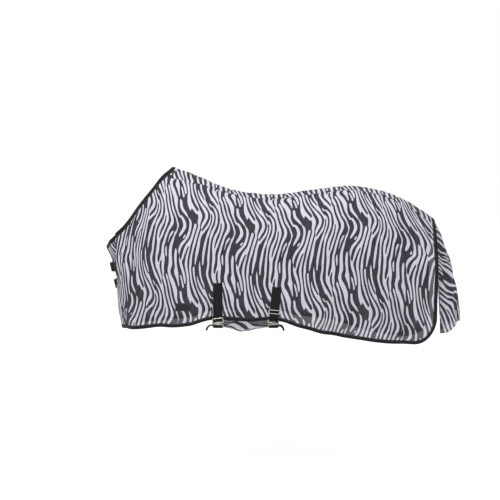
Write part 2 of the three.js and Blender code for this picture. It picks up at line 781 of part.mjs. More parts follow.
function addChestStrap(which) {
  const z = CHEST_STRAP_Z[which];
  const middle = { ...frameOn(-1, z, 0, LEFT), first: new THREE.Vector3(0, 1, 0) };

  const hookPath = new THREE.Path();
  hookPath.moveTo(HOOK_FOOT_T - 12, HOOK_LAYER - WRAP - 0.5);
  hookPath.absarc(HOOK_FOOT_T, HOOK_LAYER, WRAP, -QUARTER, QUARTER);
  hookPath.lineTo(HOOK_FOOT_T - 20, HOOK_LAYER + WRAP);
  const leftStations = [-0.36, -0.45, -0.54, -0.63, -0.72, -0.8];
  const leftFrames = chestTapeFrames(
    leftStations, z, () => UNDER_FLAP, LEFT, hookPath.getPoints(5), middle,
  );
  add(`${which}_chest_strap`, tape(leftFrames, WEBBING_WIDTH), webbing());

  const ringPath = new THREE.Path();
  ringPath.moveTo(RING_BAR_T + 12, RING_LAYER - WRAP);
  ringPath.absarc(RING_BAR_T, RING_LAYER, WRAP, 3 * QUARTER, QUARTER, true);
  ringPath.lineTo(RING_BAR_T + 18, RING_LAYER + WRAP);
  const rightStations = [-0.5, -0.58, -0.66, -0.74, -0.82];
  const onRight = (g) => LAY_GAP + WEBBING / 2 - sinkAt(g);
  const rightFrames = chestTapeFrames(
    rightStations, z, onRight, RIGHT, ringPath.getPoints(5), middle,
  );
  add(`${which}_ring_strap`, tape(rightFrames, WEBBING_WIDTH), webbing());

  addChestFitting(`${which}_chest_hook`, tHook(), middle, HOOK_FOOT_T, HOOK_LAYER);
  addChestFitting(`${which}_chest_ring`, ring(false), middle, RING_BAR_T, RING_LAYER);
}

// A fitting in the chest's middle plane; its own Y runs across the chest.
function addChestFitting(name, geometry, middle, across, out) {
  const mesh = add(name, geometry, nickel());
  const down = new THREE.Vector3().crossVectors(middle.first, middle.normal);
  const basis = new THREE.Matrix4().makeBasis(down, middle.first, middle.normal);
  mesh.quaternion.setFromRotationMatrix(basis);
  mesh.position.copy(middle.point).addScaledVector(middle.first, across);
  mesh.position.addScaledVector(middle.normal, out);
}

addChestStrap('upper');
addChestStrap('lower');

export default sheet;
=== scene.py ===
import math

import bpy
import numpy as np
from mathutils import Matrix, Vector


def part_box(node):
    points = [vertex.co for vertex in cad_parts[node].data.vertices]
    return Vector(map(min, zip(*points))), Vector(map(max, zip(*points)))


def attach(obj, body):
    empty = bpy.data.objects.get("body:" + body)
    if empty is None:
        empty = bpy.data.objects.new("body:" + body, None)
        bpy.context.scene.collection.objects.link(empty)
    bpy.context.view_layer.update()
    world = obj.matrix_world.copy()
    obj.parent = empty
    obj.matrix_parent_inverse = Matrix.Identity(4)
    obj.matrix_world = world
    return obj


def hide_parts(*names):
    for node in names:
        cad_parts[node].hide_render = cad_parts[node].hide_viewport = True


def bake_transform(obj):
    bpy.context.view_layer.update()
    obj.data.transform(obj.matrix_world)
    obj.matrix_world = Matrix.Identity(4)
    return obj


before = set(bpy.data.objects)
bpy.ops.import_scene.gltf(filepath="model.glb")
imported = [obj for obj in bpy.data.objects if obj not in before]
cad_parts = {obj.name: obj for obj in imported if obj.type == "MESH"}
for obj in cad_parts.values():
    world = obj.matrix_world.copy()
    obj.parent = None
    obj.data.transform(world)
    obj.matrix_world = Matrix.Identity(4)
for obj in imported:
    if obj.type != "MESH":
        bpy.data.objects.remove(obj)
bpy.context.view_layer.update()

# A horse's fly sheet. Shapes are worked out in millimetres: +X from chest to tail, +Z up, the left
# side towards -Y, the origin at the withers.

MM = 0.001
LEFT, RIGHT = -1, 1
ALONG = np.array([1.0, 0, 0])  # from chest to tail
OUT = np.array([0, -1.0, 0])  # out from the left side
UP = np.array([0, 0, 1.0])
QUARTER = math.pi / 2

# ---- the camera ----

AIM = Vector((0.421, 0.0, -0.454))
CAMERA_DISTANCE = 7.0
CAMERA_ELEVATION = math.radians(3.0)

camera_data = bpy.data.cameras.new("camera")
camera_data.lens = 92.1
camera_data.sensor_width = 36
camera = bpy.data.objects.new("camera", camera_data)
back = Vector((0, -math.cos(CAMERA_ELEVATION), math.sin(CAMERA_ELEVATION)))
camera.location = AIM + CAMERA_DISTANCE * back
camera.rotation_euler = (-back).to_track_quat("-Z", "Y").to_euler()
bpy.context.scene.collection.objects.link(camera)
bpy.context.scene.camera = camera

# ---- the body that the sheet lies on ----

BINDING_WIDTH = 20
WEBBING_WIDTH = 50
WEB_THICK = 2.2
SHOULDER_X = -120
REAR_X = 1412
CHEST_HALF = 205
BARREL_HALF = 290
RUMP_NARROWING = 105
BARREL_X = 150
HIP_X = 900
NECK_SLOPE = 1.155
NECK_ROUNDING = 18
CHEST_TOP_X = -361
CHEST_TOP_Z = -430
CHEST_LEAN = 0.24
REAR_CORNER = 125
REAR_SWELL = 14  # the cloth's rear edge stands this much further back
REAR_SWELL_X = 1260
REAR_FALL = 0.65  # and the back falls on with the croup's slope there
UNDERLAP = 13
UNDERLAP_G = -1.54
HINGE_G = -0.27
FRONT_EDGE_X = -299

TOP_LINE = [
    (0, 0), (150, -56), (300, -116), (450, -146), (600, -147),
    (790, -121), (985, -104), (1160, -139), (1300, -199), (1412, -275),
]
HEM_LINE = [
    (-258, -872), (-52, -857), (100, -846), (165, -821), (250, -808), (420, -819), (506, -813),
    (595, -821), (690, -856), (895, -900), (1105, -934), (1240, -948), (1412, -948),
]


def lerp(a, b, t):
    return a + (b - a) * t


def smoothstep(x, low, high):
    t = np.clip((x - low) / (high - low), 0, 1)
    return t * t * (3 - 2 * t)


class LineThrough:
    """A smooth height over x through a few points."""

    def __init__(self, points):
        self.xs, self.ys = np.array(points, float).T

    def __call__(self, x):
        xs, ys = self.xs, self.ys
        x = np.clip(x, xs[0], xs[-1])
        i1 = np.clip(np.searchsorted(xs, x, side="right"), 1, len(xs) - 1)
        i0 = i1 - 1
        before = np.where(i0 > 0, i0 - 1, i1)
        after = np.where(i1 < len(xs) - 1, i1 + 1, i0)
        half = (xs[i1] - xs[i0]) / 2
        wp = half / (xs[i0] - xs[before])
        wn = half / (xs[after] - xs[i1])
        p = (x - xs[i0]) / (xs[i1] - xs[i0])
        p2, p3 = p * p, p * p * p
        return (
            (-wp * p3 + 2 * wp * p2 - wp * p) * ys[before]
            + ((1 + wp) * p3 + (-1.5 - 2 * wp) * p2 + (-0.5 + wp) * p + 1) * ys[i0]
            + ((-1 - wn) * p3 + (1.5 + wn) * p2 + 0.5 * p) * ys[i1]
            + (wn * p3 - wn * p2) * ys[after]
        )


top_line = LineThrough(TOP_LINE)
hem_line = LineThrough(HEM_LINE)


def ridge(x):
    return np.where(x < 0, -0.55 * x, top_line(x))


def shoulder_drop(x):
    return lerp(420, 340, smoothstep(x, 0, 300))


def sharpness(x):
    return 2 * lerp(0.8, 0.6, smoothstep(x, 0, 350))


def widest(x):
    barrel = lerp(CHEST_HALF, BARREL_HALF, smoothstep(x, SHOULDER_X, BARREL_X))
    past = np.clip((x - HIP_X) / (REAR_X - HIP_X), 0, 1)
    return barrel - RUMP_NARROWING * past**2.4


def tuck(z):
    return 30 * (np.maximum(0, -500 - z) / 350) ** 2


def drop_at(x, tau):
    tau = np.abs(tau)
    return shoulder_drop(x) * np.where(tau < QUARTER, 1 - np.cos(tau), 1 + tau - QUARTER)


def tau_at(x, z):
    share = np.maximum(0, ridge(x) - z) / shoulder_drop(x)
    return np.where(share < 1, np.arccos(1 - np.minimum(share, 1)), QUARTER + share - 1)


def tau_across(x, half):
    return np.arcsin((half / widest(x)) ** (1 / sharpness(x)))


def half_width(x, tau):
    bulge = np.sin(np.minimum(np.abs(tau), QUARTER)) ** sharpness(x)
    return np.sign(tau) * (widest(x) * bulge - tuck(ridge(x) - drop_at(x, tau)))


def chest_front(z):
    return CHEST_TOP_X + CHEST_LEAN * (CHEST_TOP_Z - z)


def station_x(g):
    return SHOULDER_X + np.maximum(g, 0) * (REAR_X - SHOULDER_X)


def station_of(x):
    return (x - SHOULDER_X) / (REAR_X - SHOULDER_X)


def reach_at(z):
    return SHOULDER_X - chest_front(z)


def skin(g, tau, side):
    """The body's surface. g runs along it, below nought round the chest; tau runs down it."""
    x = station_x(g)
    z = ridge(x) - drop_at(x, tau)
    turn = -np.minimum(g, 0) * QUARTER
    front = x - np.where(g < 0, reach_at(z) * np.sin(turn), 0)
    swell = REAR_SWELL * smoothstep(x, REAR_SWELL_X, REAR_X)
    fall = REAR_FALL * swell * np.cos(np.minimum(np.abs(tau), QUARTER))
    return np.stack([front + swell, side * half_width(x, tau) * np.cos(turn), z - fall], -1)


def unit(v):
    return v / np.maximum(np.linalg.norm(v, axis=-1, keepdims=True), 1e-9)


def run_along(points, axis=0):
    """The distance covered from point to point, starting at nought."""
    steps = np.linalg.norm(np.diff(points, axis=axis), axis=-1)
    return np.concatenate([0 * np.take(steps, [0], axis), np.cumsum(steps, axis=axis)], axis=axis)


def along_line(line, at, *sources):
    """What each source says at one or more distances along a line."""
    run = run_along(line)
    return [np.stack([np.interp(at, run, column) for column in source.T], -1) for source in sources]


def outward(g, tau, side):
    step = 1e-3
    along = skin(g + step, tau, side) - skin(g - step, tau, side)
    down = skin(g, tau + step, side) - skin(g, tau - step, side)
    return unit(np.cross(along, down) * side)


def x_at(g, z):
    turn = -np.minimum(g, 0) * QUARTER
    return station_x(g) - np.where(g < 0, reach_at(z) * np.sin(turn), 0)


def meet(g, edge):
    """The height at which a station's line round the body crosses an edge."""
    z = edge(x_at(g, CHEST_TOP_Z))
    for _ in range(14):
        z = lerp(z, edge(x_at(g, z)), 0.7)
    return z


def neck_curve(x):
    """The neck edge hollows toward the chest and fills out below the withers."""
    hollow = -22 * np.exp(-(((x + 238) / 62) ** 2))
    return hollow + 11 * np.exp(-(((x + 55) / 40) ** 2))


def neck_edge(inset):
    def edge(x):
        rounding = NECK_ROUNDING * np.clip(x / CHEST_TOP_X, 0, 1) ** 24
        return NECK_SLOPE * x - rounding + neck_curve(x) - inset * math.hypot(1, NECK_SLOPE)

    return edge


def hem_height(x, side):
    """The hem's height. The right hem rides a little higher along the flank."""
    flank = 34 * np.exp(-(((x - 860) / 200) ** 2)) if side == RIGHT else 0
    return hem_line(x) + flank


def hem_edge(inset, side):
    corner_x = REAR_X - REAR_CORNER
    radius = REAR_CORNER - inset

    def edge(x):
        slope = (hem_height(x + 1, side) - hem_height(x - 1, side)) / 2
        across = np.clip(x - corner_x, 0, radius)
        rise = radius - np.sqrt(radius**2 - across**2)
        return hem_height(x, side) + inset * np.hypot(1, np.minimum(0, slope)) + rise

    return edge


def front_edge(z):
    """The station where the left half's front edge lies."""
    sine = np.minimum(0.998, (SHOULDER_X - FRONT_EDGE_X) / reach_at(z))
    return -np.arcsin(sine) / QUARTER


def sink_at(g, z):
    """How far the right half lies below the left one: under the straps and under its front edge."""
    at_straps = smoothstep(-g, 0.35, 0.75) * smoothstep(-z, 425, 515)
    return UNDERLAP * np.maximum(at_straps, smoothstep(-g, 1.3, 1.48))


# ---- soft folds ----


def waves(a, b, seed, size, stretch=1.0):
    """A smooth random height of about -1 to 1 over two coordinates."""
    rng = np.random.default_rng(seed)
    count = 14
    total = 0
    for _ in range(count):
        angle, phase = rng.uniform(0, 2 * math.pi, 2)
        k = 2 * math.pi / size * rng.uniform(0.6, 1.5)
        total = total + np.cos(k * (math.cos(angle) * a + math.sin(angle) * b / stretch) + phase)
    return total / math.sqrt(count / 2)


MM_PER_STATION = 300  # along the cloth round the chest, for a whole station
STRAP_X = {"front": 251, "rear": 545}
STRAP_TOP_Z = {"front": -613, "rear": -634}
RING_Z = -811
REAR_SLANT = 0.1
STRAP_REACH = 46  # how far to each side a strap holds the cloth down


def under_strap(s, z):
    """1 beneath a belly strap, where the cloth is pulled flat, and 0 away from it."""
    rear_x = STRAP_X["rear"] + math.tan(REAR_SLANT) * (z - RING_Z)
    off_centre = np.minimum(abs(s - STRAP_X["front"]), abs(s - rear_x))
    return np.exp(-((off_centre / STRAP_REACH) ** 2)) * smoothstep(-z, 560, 620)


def crease(s, z, start, end, height, width):
    """A pulled fold along a straight line that fades at both ends."""
    start, end = np.array(start, float), np.array(end, float)
    length = np.linalg.norm(end - start)
    direction = (end - start) / length
    along = ((s - start[0]) * direction[0] + (z - start[1]) * direction[1]) / length
    across = -(s - start[0]) * direction[1] + (z - start[1]) * direction[0]
    fade = smoothstep(along, 0, 0.3) * (1 - smoothstep(along, 0.6, 1))
    return height * fade * np.exp(-((across / width) ** 2))


# Each crease: its start and end along the sheet and up, its height and its width.
LEFT_CREASES = [
    ((112, -600), (300, -634), 6.6, 6),
    ((205, -624), (392, -664), 6.0, 6),
    ((120, -556), (246, -618), 2.6, 8),
    ((285, -690), (372, -790), 2.4, 8),
    ((470, -600), (560, -644), 3.0, 7),
    ((560, -640), (700, -612), 2.8, 8),
    ((585, -800), (690, -700), 2.0, 10),
    ((1270, -470), (1385, -420), 1.6, 10),
    ((1352, -700), (1372, -430), 7.0, 8),
    ((1374, -740), (1386, -520), 6.0, 6),
    ((1325, -640), (1350, -450), 5.4, 8),
    ((-120, -200), (-240, -345), 3.4, 9),
    ((-70, -150), (-170, -330), 3.0, 10),
    ((-20, -120), (-110, -290), 2.2, 10),
]


def folds(g, tau, side):
    """How far the cloth stands off the body, in millimetres."""
    x = station_x(g)
    z = ridge(x) - drop_at(x, tau)
    s = x + np.minimum(g, 0) * MM_PER_STATION
    seed = 40 + side
    low = smoothstep(-z, 520, 930)
    broad = 2.2 * waves(s, z, seed, 240, 1.5) + 0.75 * waves(s, z, seed + 10, 80, 2.2)
    hanging = low * 4.6 * waves(s, 0.16 * z, seed + 20, 150)
    total = (broad + hanging) * smoothstep(ridge(x) - z, 6, 90)
    if side == LEFT:
        for line in LEFT_CREASES:
            total = total + crease(s, z, *line)
        total = total * (1 - 0.9 * under_strap(s, z))
    return total


CHEST_SWELL = 19  # the low front of the chest hangs forward of the straps


def laid(g, tau, side, offset):
    """A point of the sheet, offset from its cloth."""
    z = ridge(station_x(g)) - drop_at(station_x(g), tau)
    sink = sink_at(g, z) if side == RIGHT else 0
    swell = CHEST_SWELL * smoothstep(-g, 0, 0.3) * smoothstep(-z, 610, 800)
    height = offset + folds(g, tau, side) - sink + swell
    return skin(g, tau, side) + outward(g, tau, side) * np.asarray(height)[..., None]


# ---- the stripe print ----

REPEAT = (300.0, 500.0)
STRIPES = 11
TILE = (150, 250)


def tile_field(rng, size_s, size_t):
    """A smooth random field that repeats with the print."""
    columns, rows = TILE
    noise = rng.standard_normal((rows, columns))
    fs = np.fft.fftfreq(columns, REPEAT[0] / columns)[None, :]
    ft = np.fft.fftfreq(rows, REPEAT[1] / rows)[:, None]
    spectrum = np.fft.fft2(noise) * np.exp(-2 * (math.pi * fs * size_s) ** 2)
    spectrum = spectrum * np.exp(-2 * (math.pi * ft * size_t) ** 2)
    spectrum[0, 0] = 0
    field = np.fft.ifft2(spectrum).real
    return field / field.std()


# Each spot: where it lies on the tile, its half width and half length, and how far it leans.
WHITE_LENSES = [(22, 212, 12, 50, 0.30), (172, 222, 12, 48, 0.34)]
BLACK_KNOTS = [
    (56, 186, 11, 55, 0.36), (206, 194, 11, 52, 0.36), (40, 452, 9, 40, -0.1),
    (190, 440, 10, 42, -0.1), (118, 20, 8, 38, -0.3), (236, 84, 8, 36, -0.3),
    (96, 320, 8, 36, 0.1), (262, 330, 8, 40, 0.1),
]


def tile_spots(spots):
    s, t = np.meshgrid(
        np.linspace(0, REPEAT[0], TILE[0], endpoint=False),
        np.linspace(0, REPEAT[1], TILE[1], endpoint=False),
    )
    total = 0
    for centre_s, centre_t, wide, long, lean in spots:
        dt = (t - centre_t + REPEAT[1] / 2) % REPEAT[1] - REPEAT[1] / 2
        ds = (s - centre_s - lean * dt + REPEAT[0] / 2) % REPEAT[0] - REPEAT[0] / 2
        total = total + np.exp(-((ds / wide) ** 2) - (dt / long) ** 2)
    return np.minimum(total, 1)


def make_tile(seed):
    rng = np.random.default_rng(seed)
    lenses, knots = tile_spots(WHITE_LENSES), tile_spots(BLACK_KNOTS)
    down = np.linspace(0, REPEAT[1], TILE[1], endpoint=False)[:, None]
    swing = -34 * np.sin(2 * math.pi * (down - 200) / REPEAT[1])
    real, imaginary = tile_field(rng, 13, 40), tile_field(rng, 13, 40)
    length = np.sqrt(0.12 + real**2 + imaginary**2)
    warp = 8.5 * tile_field(rng, 38, 42) + swing
    bias = 0.34 * np.tanh(tile_field(rng, 12, 34)) - 0.45 * (0.12 / length**2)
    bias = bias + 1.15 * lenses - 0.62 * knots
    strength = (1 - 0.45 * lenses) / length
    return real * strength, imaginary * strength, warp, bias


PRINT_TILE = make_tile(11)


def from_tile(field, s, t):
    columns, rows = TILE
    u, v = (s / REPEAT[0] % 1) * columns, (t / REPEAT[1] % 1) * rows
    i, j = np.floor(u).astype(int), np.floor(v).astype(int)
    fu, fv = u - i, v - j
    i0, i1, j0, j1 = i % columns, (i + 1) % columns, j % rows, (j + 1) % rows
    upper = field[j0, i0] * (1 - fu) + field[j0, i1] * fu
    lower = field[j1, i0] * (1 - fu) + field[j1, i1] * fu
    return upper * (1 - fv) + lower * fv


def print_attributes(s, t):
    """Vertex attributes for the stripes: a warped coordinate and a slowly turning phase."""
    real, imaginary, warp, bias = (from_tile(field, s, t) for field in PRINT_TILE)
    stripe = np.stack([(s + warp) * MM, real, imaginary], -1)
    cloth = np.stack([s * MM, t * MM, bias], -1)
    return {"stripe": stripe, "cloth": cloth}


# ---- meshes ----


def mesh_object(name, points, faces, materials, attributes=None, face_materials=None):
    mesh = bpy.data.meshes.new(name)
    mesh.from_pydata((np.asarray(points).reshape(-1, 3) * MM).tolist(), [], faces)
    for key, values in (attributes or {}).items():
        attribute = mesh.attributes.new(key, "FLOAT_VECTOR", "POINT")
        attribute.data.foreach_set("vector", np.asarray(values, np.float32).ravel())
    for material in materials:
        mesh.materials.append(material)
    if face_materials is not None:
        mesh.polygons.foreach_set("material_index", face_materials)
    mesh.polygons.foreach_set("use_smooth", np.ones(len(mesh.polygons), bool))
    mesh.update()
    obj = bpy.data.objects.new(name, mesh)
    bpy.context.scene.collection.objects.link(obj)
    return obj


def grid_faces(rows, columns, flip=False):
    index = np.arange(rows * columns).reshape(rows, columns)
    quads = [index[:-1, :-1], index[:-1, 1:], index[1:, 1:], index[1:, :-1]]
    if flip:
        quads = quads[::-1]
    return np.stack([q.ravel() for q in quads], -1).tolist()


def signed_volume(points, faces):
    total = 0.0
    for face in faces:
        a = points[face[0]]
        for i in range(1, len(face) - 1):
            total += np.dot(a, np.cross(points[face[i]], points[face[i + 1]]))
    return total


STITCH_LENGTH, STITCH_GAP, THREAD_RADIUS = 3.4, 1.5, 0.42


class Solid:
    """Collects closed shapes that make one piece."""

    def __init__(self):
        self.points, self.faces, self.slots, self.weave = [], [], [], []
        self.count = 0

    def add(self, points, faces, slot=0, weave=None):
        points = np.asarray(points, float).reshape(-1, 3)
        if signed_volume(points, faces) < 0:
            faces = [tuple(reversed(face)) for face in faces]
        self.points.append(points)
        self.faces += [tuple(int(i) + self.count for i in face) for face in faces]
        self.slots += [slot] * len(faces)
        self.weave.append(np.zeros((len(points), 3)) if weave is None else weave)
        self.count += len(points)

    def sweep(self, rings, closed=False, slot=0, weave=None):
        """Joins rings of points, of shape (stations, around, 3)."""
        stations, around = rings.shape[:2]
        index = np.arange(stations * around).reshape(stations, around)
        following = np.roll(index, -1, axis=1)
        if closed:
            first, second = index, np.roll(index, -1, axis=0)
            first_next, second_next = following, np.roll(following, -1, axis=0)
        else:
            first, second = index[:-1], index[1:]
            first_next, second_next = following[:-1], following[1:]
        quads = np.stack([q.ravel() for q in (first, first_next, second_next, second)], -1)
        faces = [tuple(q) for q in quads.tolist()]
        if not closed:
            faces += [tuple(index[0][::-1].tolist()), tuple(index[-1].tolist())]
        self.add(rings, faces, slot, weave)

    def stitches(self, line, normals):
        """Thread that shows as a row of short rounded stitches along a line."""
        end = run_along(line)[-1] - STITCH_LENGTH
        for start in np.arange(STITCH_GAP, end, STITCH_LENGTH + STITCH_GAP):
            first, up = along_line(line, start, line, normals)
            ends = [first, *along_line(line, start + STITCH_LENGTH, line)]
            lift = unit(up) * THREAD_RADIUS
            across = np.cross(lift, unit(ends[1] - ends[0])) * 1.3
            points = [ends[0] - lift * 0.5]
            for end in (lerp(ends[0], ends[1], 0.2), lerp(ends[0], ends[1], 0.8)):
                points += [end + lift, end + across, end - lift, end - across]
            points.append(ends[1] - lift * 0.5)
            faces = []
            for i in range(4):
                j = (i + 1) % 4
                faces += [(0, 1 + i, 1 + j), (1 + i, 5 + i, 5 + j, 1 + j), (9, 5 + j, 5 + i)]
            self.add(points, faces, slot=1)

    def bar(self, line, radius_a=1.65, radius_b=1.4, closed=False):
        """A metal bar drawn in a flat plane."""
        self.sweep(tube_rings(np.array(line, float), radius_a, radius_b, closed), closed=closed)

    def place(self, origin, x, y, z):
        """Moves everything, by where its origin and its three directions go."""
        basis = np.stack([x, y, z])
        self.points = [points @ basis + origin for points in self.points]

    def finish(self, name, materials):
        attributes = {"weave": np.concatenate(self.weave)}
        points = np.concatenate(self.points)
        return mesh_object(name, points, self.faces, materials, attributes, self.slots)


# ---- materials ----


class Material:
    """A node material with short names for the nodes that are used."""

    def __init__(self, name):
        self.material = bpy.data.materials.new(name)
        self.material.use_nodes = True
        self.tree = self.material.node_tree
        self.shader = self.tree.nodes["Principled BSDF"]

    def put(self, socket, value):
        if isinstance(value, bpy.types.NodeSocket):
            self.tree.links.new(value, socket)
        else:
            socket.default_value = value

    def node(self, kind, settings=None, **inputs):
        node = self.tree.nodes.new(kind)
        for key, value in (settings or {}).items():
            setattr(node, key, value)
        for key, value in inputs.items():
            self.put(node.inputs[key.replace("_", " ")], value)
        return node

    def math(self, operation, *values):
        node = self.tree.nodes.new("ShaderNodeMath")
        node.operation = operation
        for socket, value in zip(node.inputs, values):
            self.put(socket, value)
        return node.outputs[0]

    def times(self, first, second):
        return self.math("MULTIPLY", first, second)

    def plus(self, first, second):
        return self.math("ADD", first, second)

    def ripple(self, value, length):
        return self.math("SINE", self.times(value, 2 * math.pi / length))

    def attribute(self, name):
        node = self.node("ShaderNodeAttribute", {"attribute_name": name})
        return self.node("ShaderNodeSeparateXYZ", Vector=node.outputs["Vector"]).outputs

    def noise(self, vector, scale, detail):
        node = self.node("ShaderNodeTexNoise", Vector=vector, Scale=scale, Detail=detail)
        return node.outputs["Fac"]

    def streaks(self, a, b, per_a, per_b, detail):
        """Noise over two coordinates, with its own fineness along each."""
        where = self.node("ShaderNodeCombineXYZ", X=self.times(a, per_a), Y=self.times(b, per_b))
        return self.noise(where.outputs[0], 1.0, detail)

    def spread(self, value, low, high, to_low=0.0, to_high=1.0, smooth=True):
        node = self.node("ShaderNodeMapRange", {"clamp": True})
        if smooth:
            node.interpolation_type = "SMOOTHSTEP"
        keys = ("From Min", "From Max", "To Min", "To Max")
        for key, number in zip(keys, (low, high, to_low, to_high)):
            node.inputs[key].default_value = number
        self.put(node.inputs["Value"], value)
        return node.outputs["Result"]

    def mix(self, share, first, second):
        node = self.node("ShaderNodeMix", {"data_type": "RGBA"}, Factor=share)
        for socket, value in zip(node.inputs[6:8], (first, second)):  # the two colours
            self.put(socket, value)
        return node.outputs[2]

    def bump(self, height, strength, distance):
        node = self.node("ShaderNodeBump", Strength=strength, Distance=distance, Height=height)
        self.put(self.shader.inputs["Normal"], node.outputs[0])

    def set(self, **inputs):
        for key, value in inputs.items():
            self.put(self.shader.inputs[key.replace("_", " ")], value)


def colour(r, g, b):
    return (r, g, b, 1.0)


def printed_mesh_material():
    m = Material("printed_mesh")
    x, real, imaginary = m.attribute("stripe")
    s, t, bias = m.attribute("cloth")
    phase = m.times(x, 2 * math.pi * STRIPES / (REPEAT[0] * MM))
    even, odd = m.times(real, m.math("COSINE", phase)), m.times(imaginary, m.math("SINE", phase))
    ragged = m.streaks(s, t, 150.0, 42.0, 2.0)
    value = m.plus(m.plus(m.math("SUBTRACT", even, odd), bias), m.times(ragged, 0.34))
    value = m.math("SUBTRACT", value, m.spread(t, -0.1, 0.3, 0.0, 0.11))
    value = m.math("SUBTRACT", value, m.spread(s, -0.35, -0.05, 0.12, 0.0))
    white = m.spread(value, 0.10, 0.25)

    holes = m.times(m.ripple(s, 0.0021), m.ripple(t, 0.0024))
    slub = m.streaks(s, t, 420.0, 7.0, 3.0)
    patchy = m.streaks(s, t, 9.0, 6.0, 3.0)

    cloth = m.mix(m.spread(slub, 0.3, 0.7), colour(0.515, 0.52, 0.588), colour(0.58, 0.585, 0.652))
    cloth = m.mix(m.spread(patchy, 0.3, 0.75, 0.0, 0.35), cloth, colour(0.49, 0.495, 0.56))
    # Painted shade: the cloth colour is mixed towards a darker grey further down from the widest
    # line, so the lower sheet looks less lit.
    cloth = m.mix(m.spread(t, 0.0, 0.5, 0.0, 0.24), cloth, colour(0.34, 0.345, 0.39))
    inked = m.spread(slub, 0.25, 0.75)
    ink = m.mix(inked, colour(0.006, 0.008, 0.011), colour(0.015, 0.018, 0.023))
    printed = m.mix(white, ink, cloth)
    # The mesh's hole grid is real. The dark grey mixed in on it is painted shade, standing in for
    # the dark seen through the holes.
    shade = m.mix(m.spread(holes, -0.9, 0.9, 0.0, 0.14, False), printed, colour(0.10, 0.10, 0.12))
    roughness = m.spread(white, 0, 1, 0.72, 0.9, False)
    m.set(Base_Color=shade, Roughness=roughness, Alpha=0.93, Specular_IOR_Level=0.25)
    m.set(Sheen_Weight=0.02, Sheen_Roughness=0.5)
    m.bump(m.plus(m.times(holes, 0.5), slub), 0.35, 0.0004)
    return m.material


def woven_material(name, dark, light, rib_along, rib_across, roughness, height, edge_half):
    """Woven tape: ribs across it, rows of yarn along it, and slightly worn edges."""
    m = Material(name)
    along, across, _ = m.attribute("weave")
    to_side = m.math("ABSOLUTE", across)
    twill = m.ripple(m.plus(along, to_side), 3 * rib_along)
    ribs = m.times(m.ripple(along, rib_along), m.ripple(across, rib_across))
    weave = m.plus(ribs, m.times(twill, 0.6))
    fibre = m.streaks(along, across, 900.0, 900.0, 3.0)
    fade = m.streaks(along, across, 14.0, 30.0, 3.0)
    worn = m.spread(to_side, edge_half - 0.0035, edge_half, 0.0, 0.5)
    base = m.mix(m.spread(weave, -1.4, 1.4, 0, 1, False), dark, light)
    base = m.mix(m.spread(fade, 0.35, 0.75, 0, 0.45), base, light)
    base = m.mix(m.times(worn, fibre), base, colour(*(2.6 * c for c in light[:3])))
    m.set(Base_Color=base, Roughness=m.spread(fibre, 0.3, 0.7, roughness - 0.1, roughness + 0.08))
    m.set(Sheen_Weight=0.02, Sheen_Roughness=0.45, Specular_IOR_Level=0.12)
    m.bump(m.plus(weave, m.times(fibre, 0.6)), 0.5, height)
    return m.material


def thread_material(name, tone):
    m = Material(name)
    where = m.node("ShaderNodeTexCoord").outputs["Object"]
    twist = m.noise(where, 2600.0, 2.0)
    m.set(Base_Color=m.mix(twist, colour(*(0.6 * c for c in tone)), colour(*tone)))
    m.set(Roughness=0.55)
    m.bump(twist, 0.4, 0.0002)
    return m.material


def nickel_material():
    m = Material("nickel")
    where = m.node("ShaderNodeTexCoord").outputs["Object"]
    cast = m.noise(where, 260.0, 3.0)
    brushed = m.node("ShaderNodeMapping", Vector=where, Scale=(90, 900, 2400)).outputs[0]
    scratches = m.noise(brushed, 1.0, 2.0)
    tarnish = m.noise(where, 60.0, 4.0)
    base = m.mix(m.spread(tarnish, 0.45, 0.75), colour(0.70, 0.67, 0.60), colour(0.42, 0.38, 0.31))
    rough = m.plus(m.spread(scratches, 0.3, 0.75, 0.18, 0.34), m.spread(cast, 0.4, 0.8, 0, 0.12))
    m.set(Base_Color=base, Metallic=1.0, Roughness=rough)
    m.bump(m.plus(cast, m.times(scratches, 0.4)), 0.15, 0.0002)
    return m.material


PRINTED = printed_mesh_material()
TAPE = woven_material(
    "edge_tape", colour(0.005, 0.0055, 0.007), colour(0.014, 0.0145, 0.0175),
    rib_along=0.0011, rib_across=0.0016, roughness=0.8, height=0.0003, edge_half=0.0135,
)
WEBBING = woven_material(
    "webbing", colour(0.004, 0.0043, 0.0055), colour(0.011, 0.0115, 0.0135),
    rib_along=0.0019, rib_across=0.0031, roughness=0.72, height=0.0006, edge_half=0.025,
)
LABEL = woven_material(
    "label_cloth", colour(0.009, 0.010, 0.012), colour(0.024, 0.026, 0.030),
    rib_along=0.0006, rib_across=0.0006, roughness=0.6, height=0.0001, edge_half=0.030,
)
BLACK_THREAD = thread_material("black_thread", (0.035, 0.036, 0.042))
GREY_THREAD = thread_material("grey_thread", (0.20, 0.21, 0.24))
NICKEL = nickel_material()

# ---- cloth panels ----

TAPE_COVER = 7  # the cloth's edge lies this far inside the tape's outer edge
SPINE_EDGE = 86  # half width of the strip along the back
SPINE_OVERLAP = 9
CELL = 5.5


def cloth_top(g):
    x = station_x(g)
    neck = tau_at(x, meet(g, neck_edge(TAPE_COVER)))
    behind = tau_across(np.maximum(x, 0), SPINE_EDGE - SPINE_OVERLAP)
    return np.where(x < -60, neck, np.maximum(neck, behind))


def cloth_bottom(g, side):
    return tau_at(station_x(g), meet(g, hem_edge(TAPE_COVER, side)))


def side_stations(first):
    """Stations from a front one to the rear, close together round the rear corner."""
    corner_x = REAR_X - REAR_CORNER
    front = np.linspace(first, 0, int(-first * MM_PER_STATION / CELL) + 1)[:-1]
    middle = station_of(np.linspace(SHOULDER_X, corner_x, int((corner_x - SHOULDER_X) / CELL)))
    turns = np.linspace(0, QUARTER, 26)[1:]
    corner = station_of(corner_x + (REAR_CORNER - TAPE_COVER) * np.sin(turns))
    return np.concatenate([front, middle, corner])


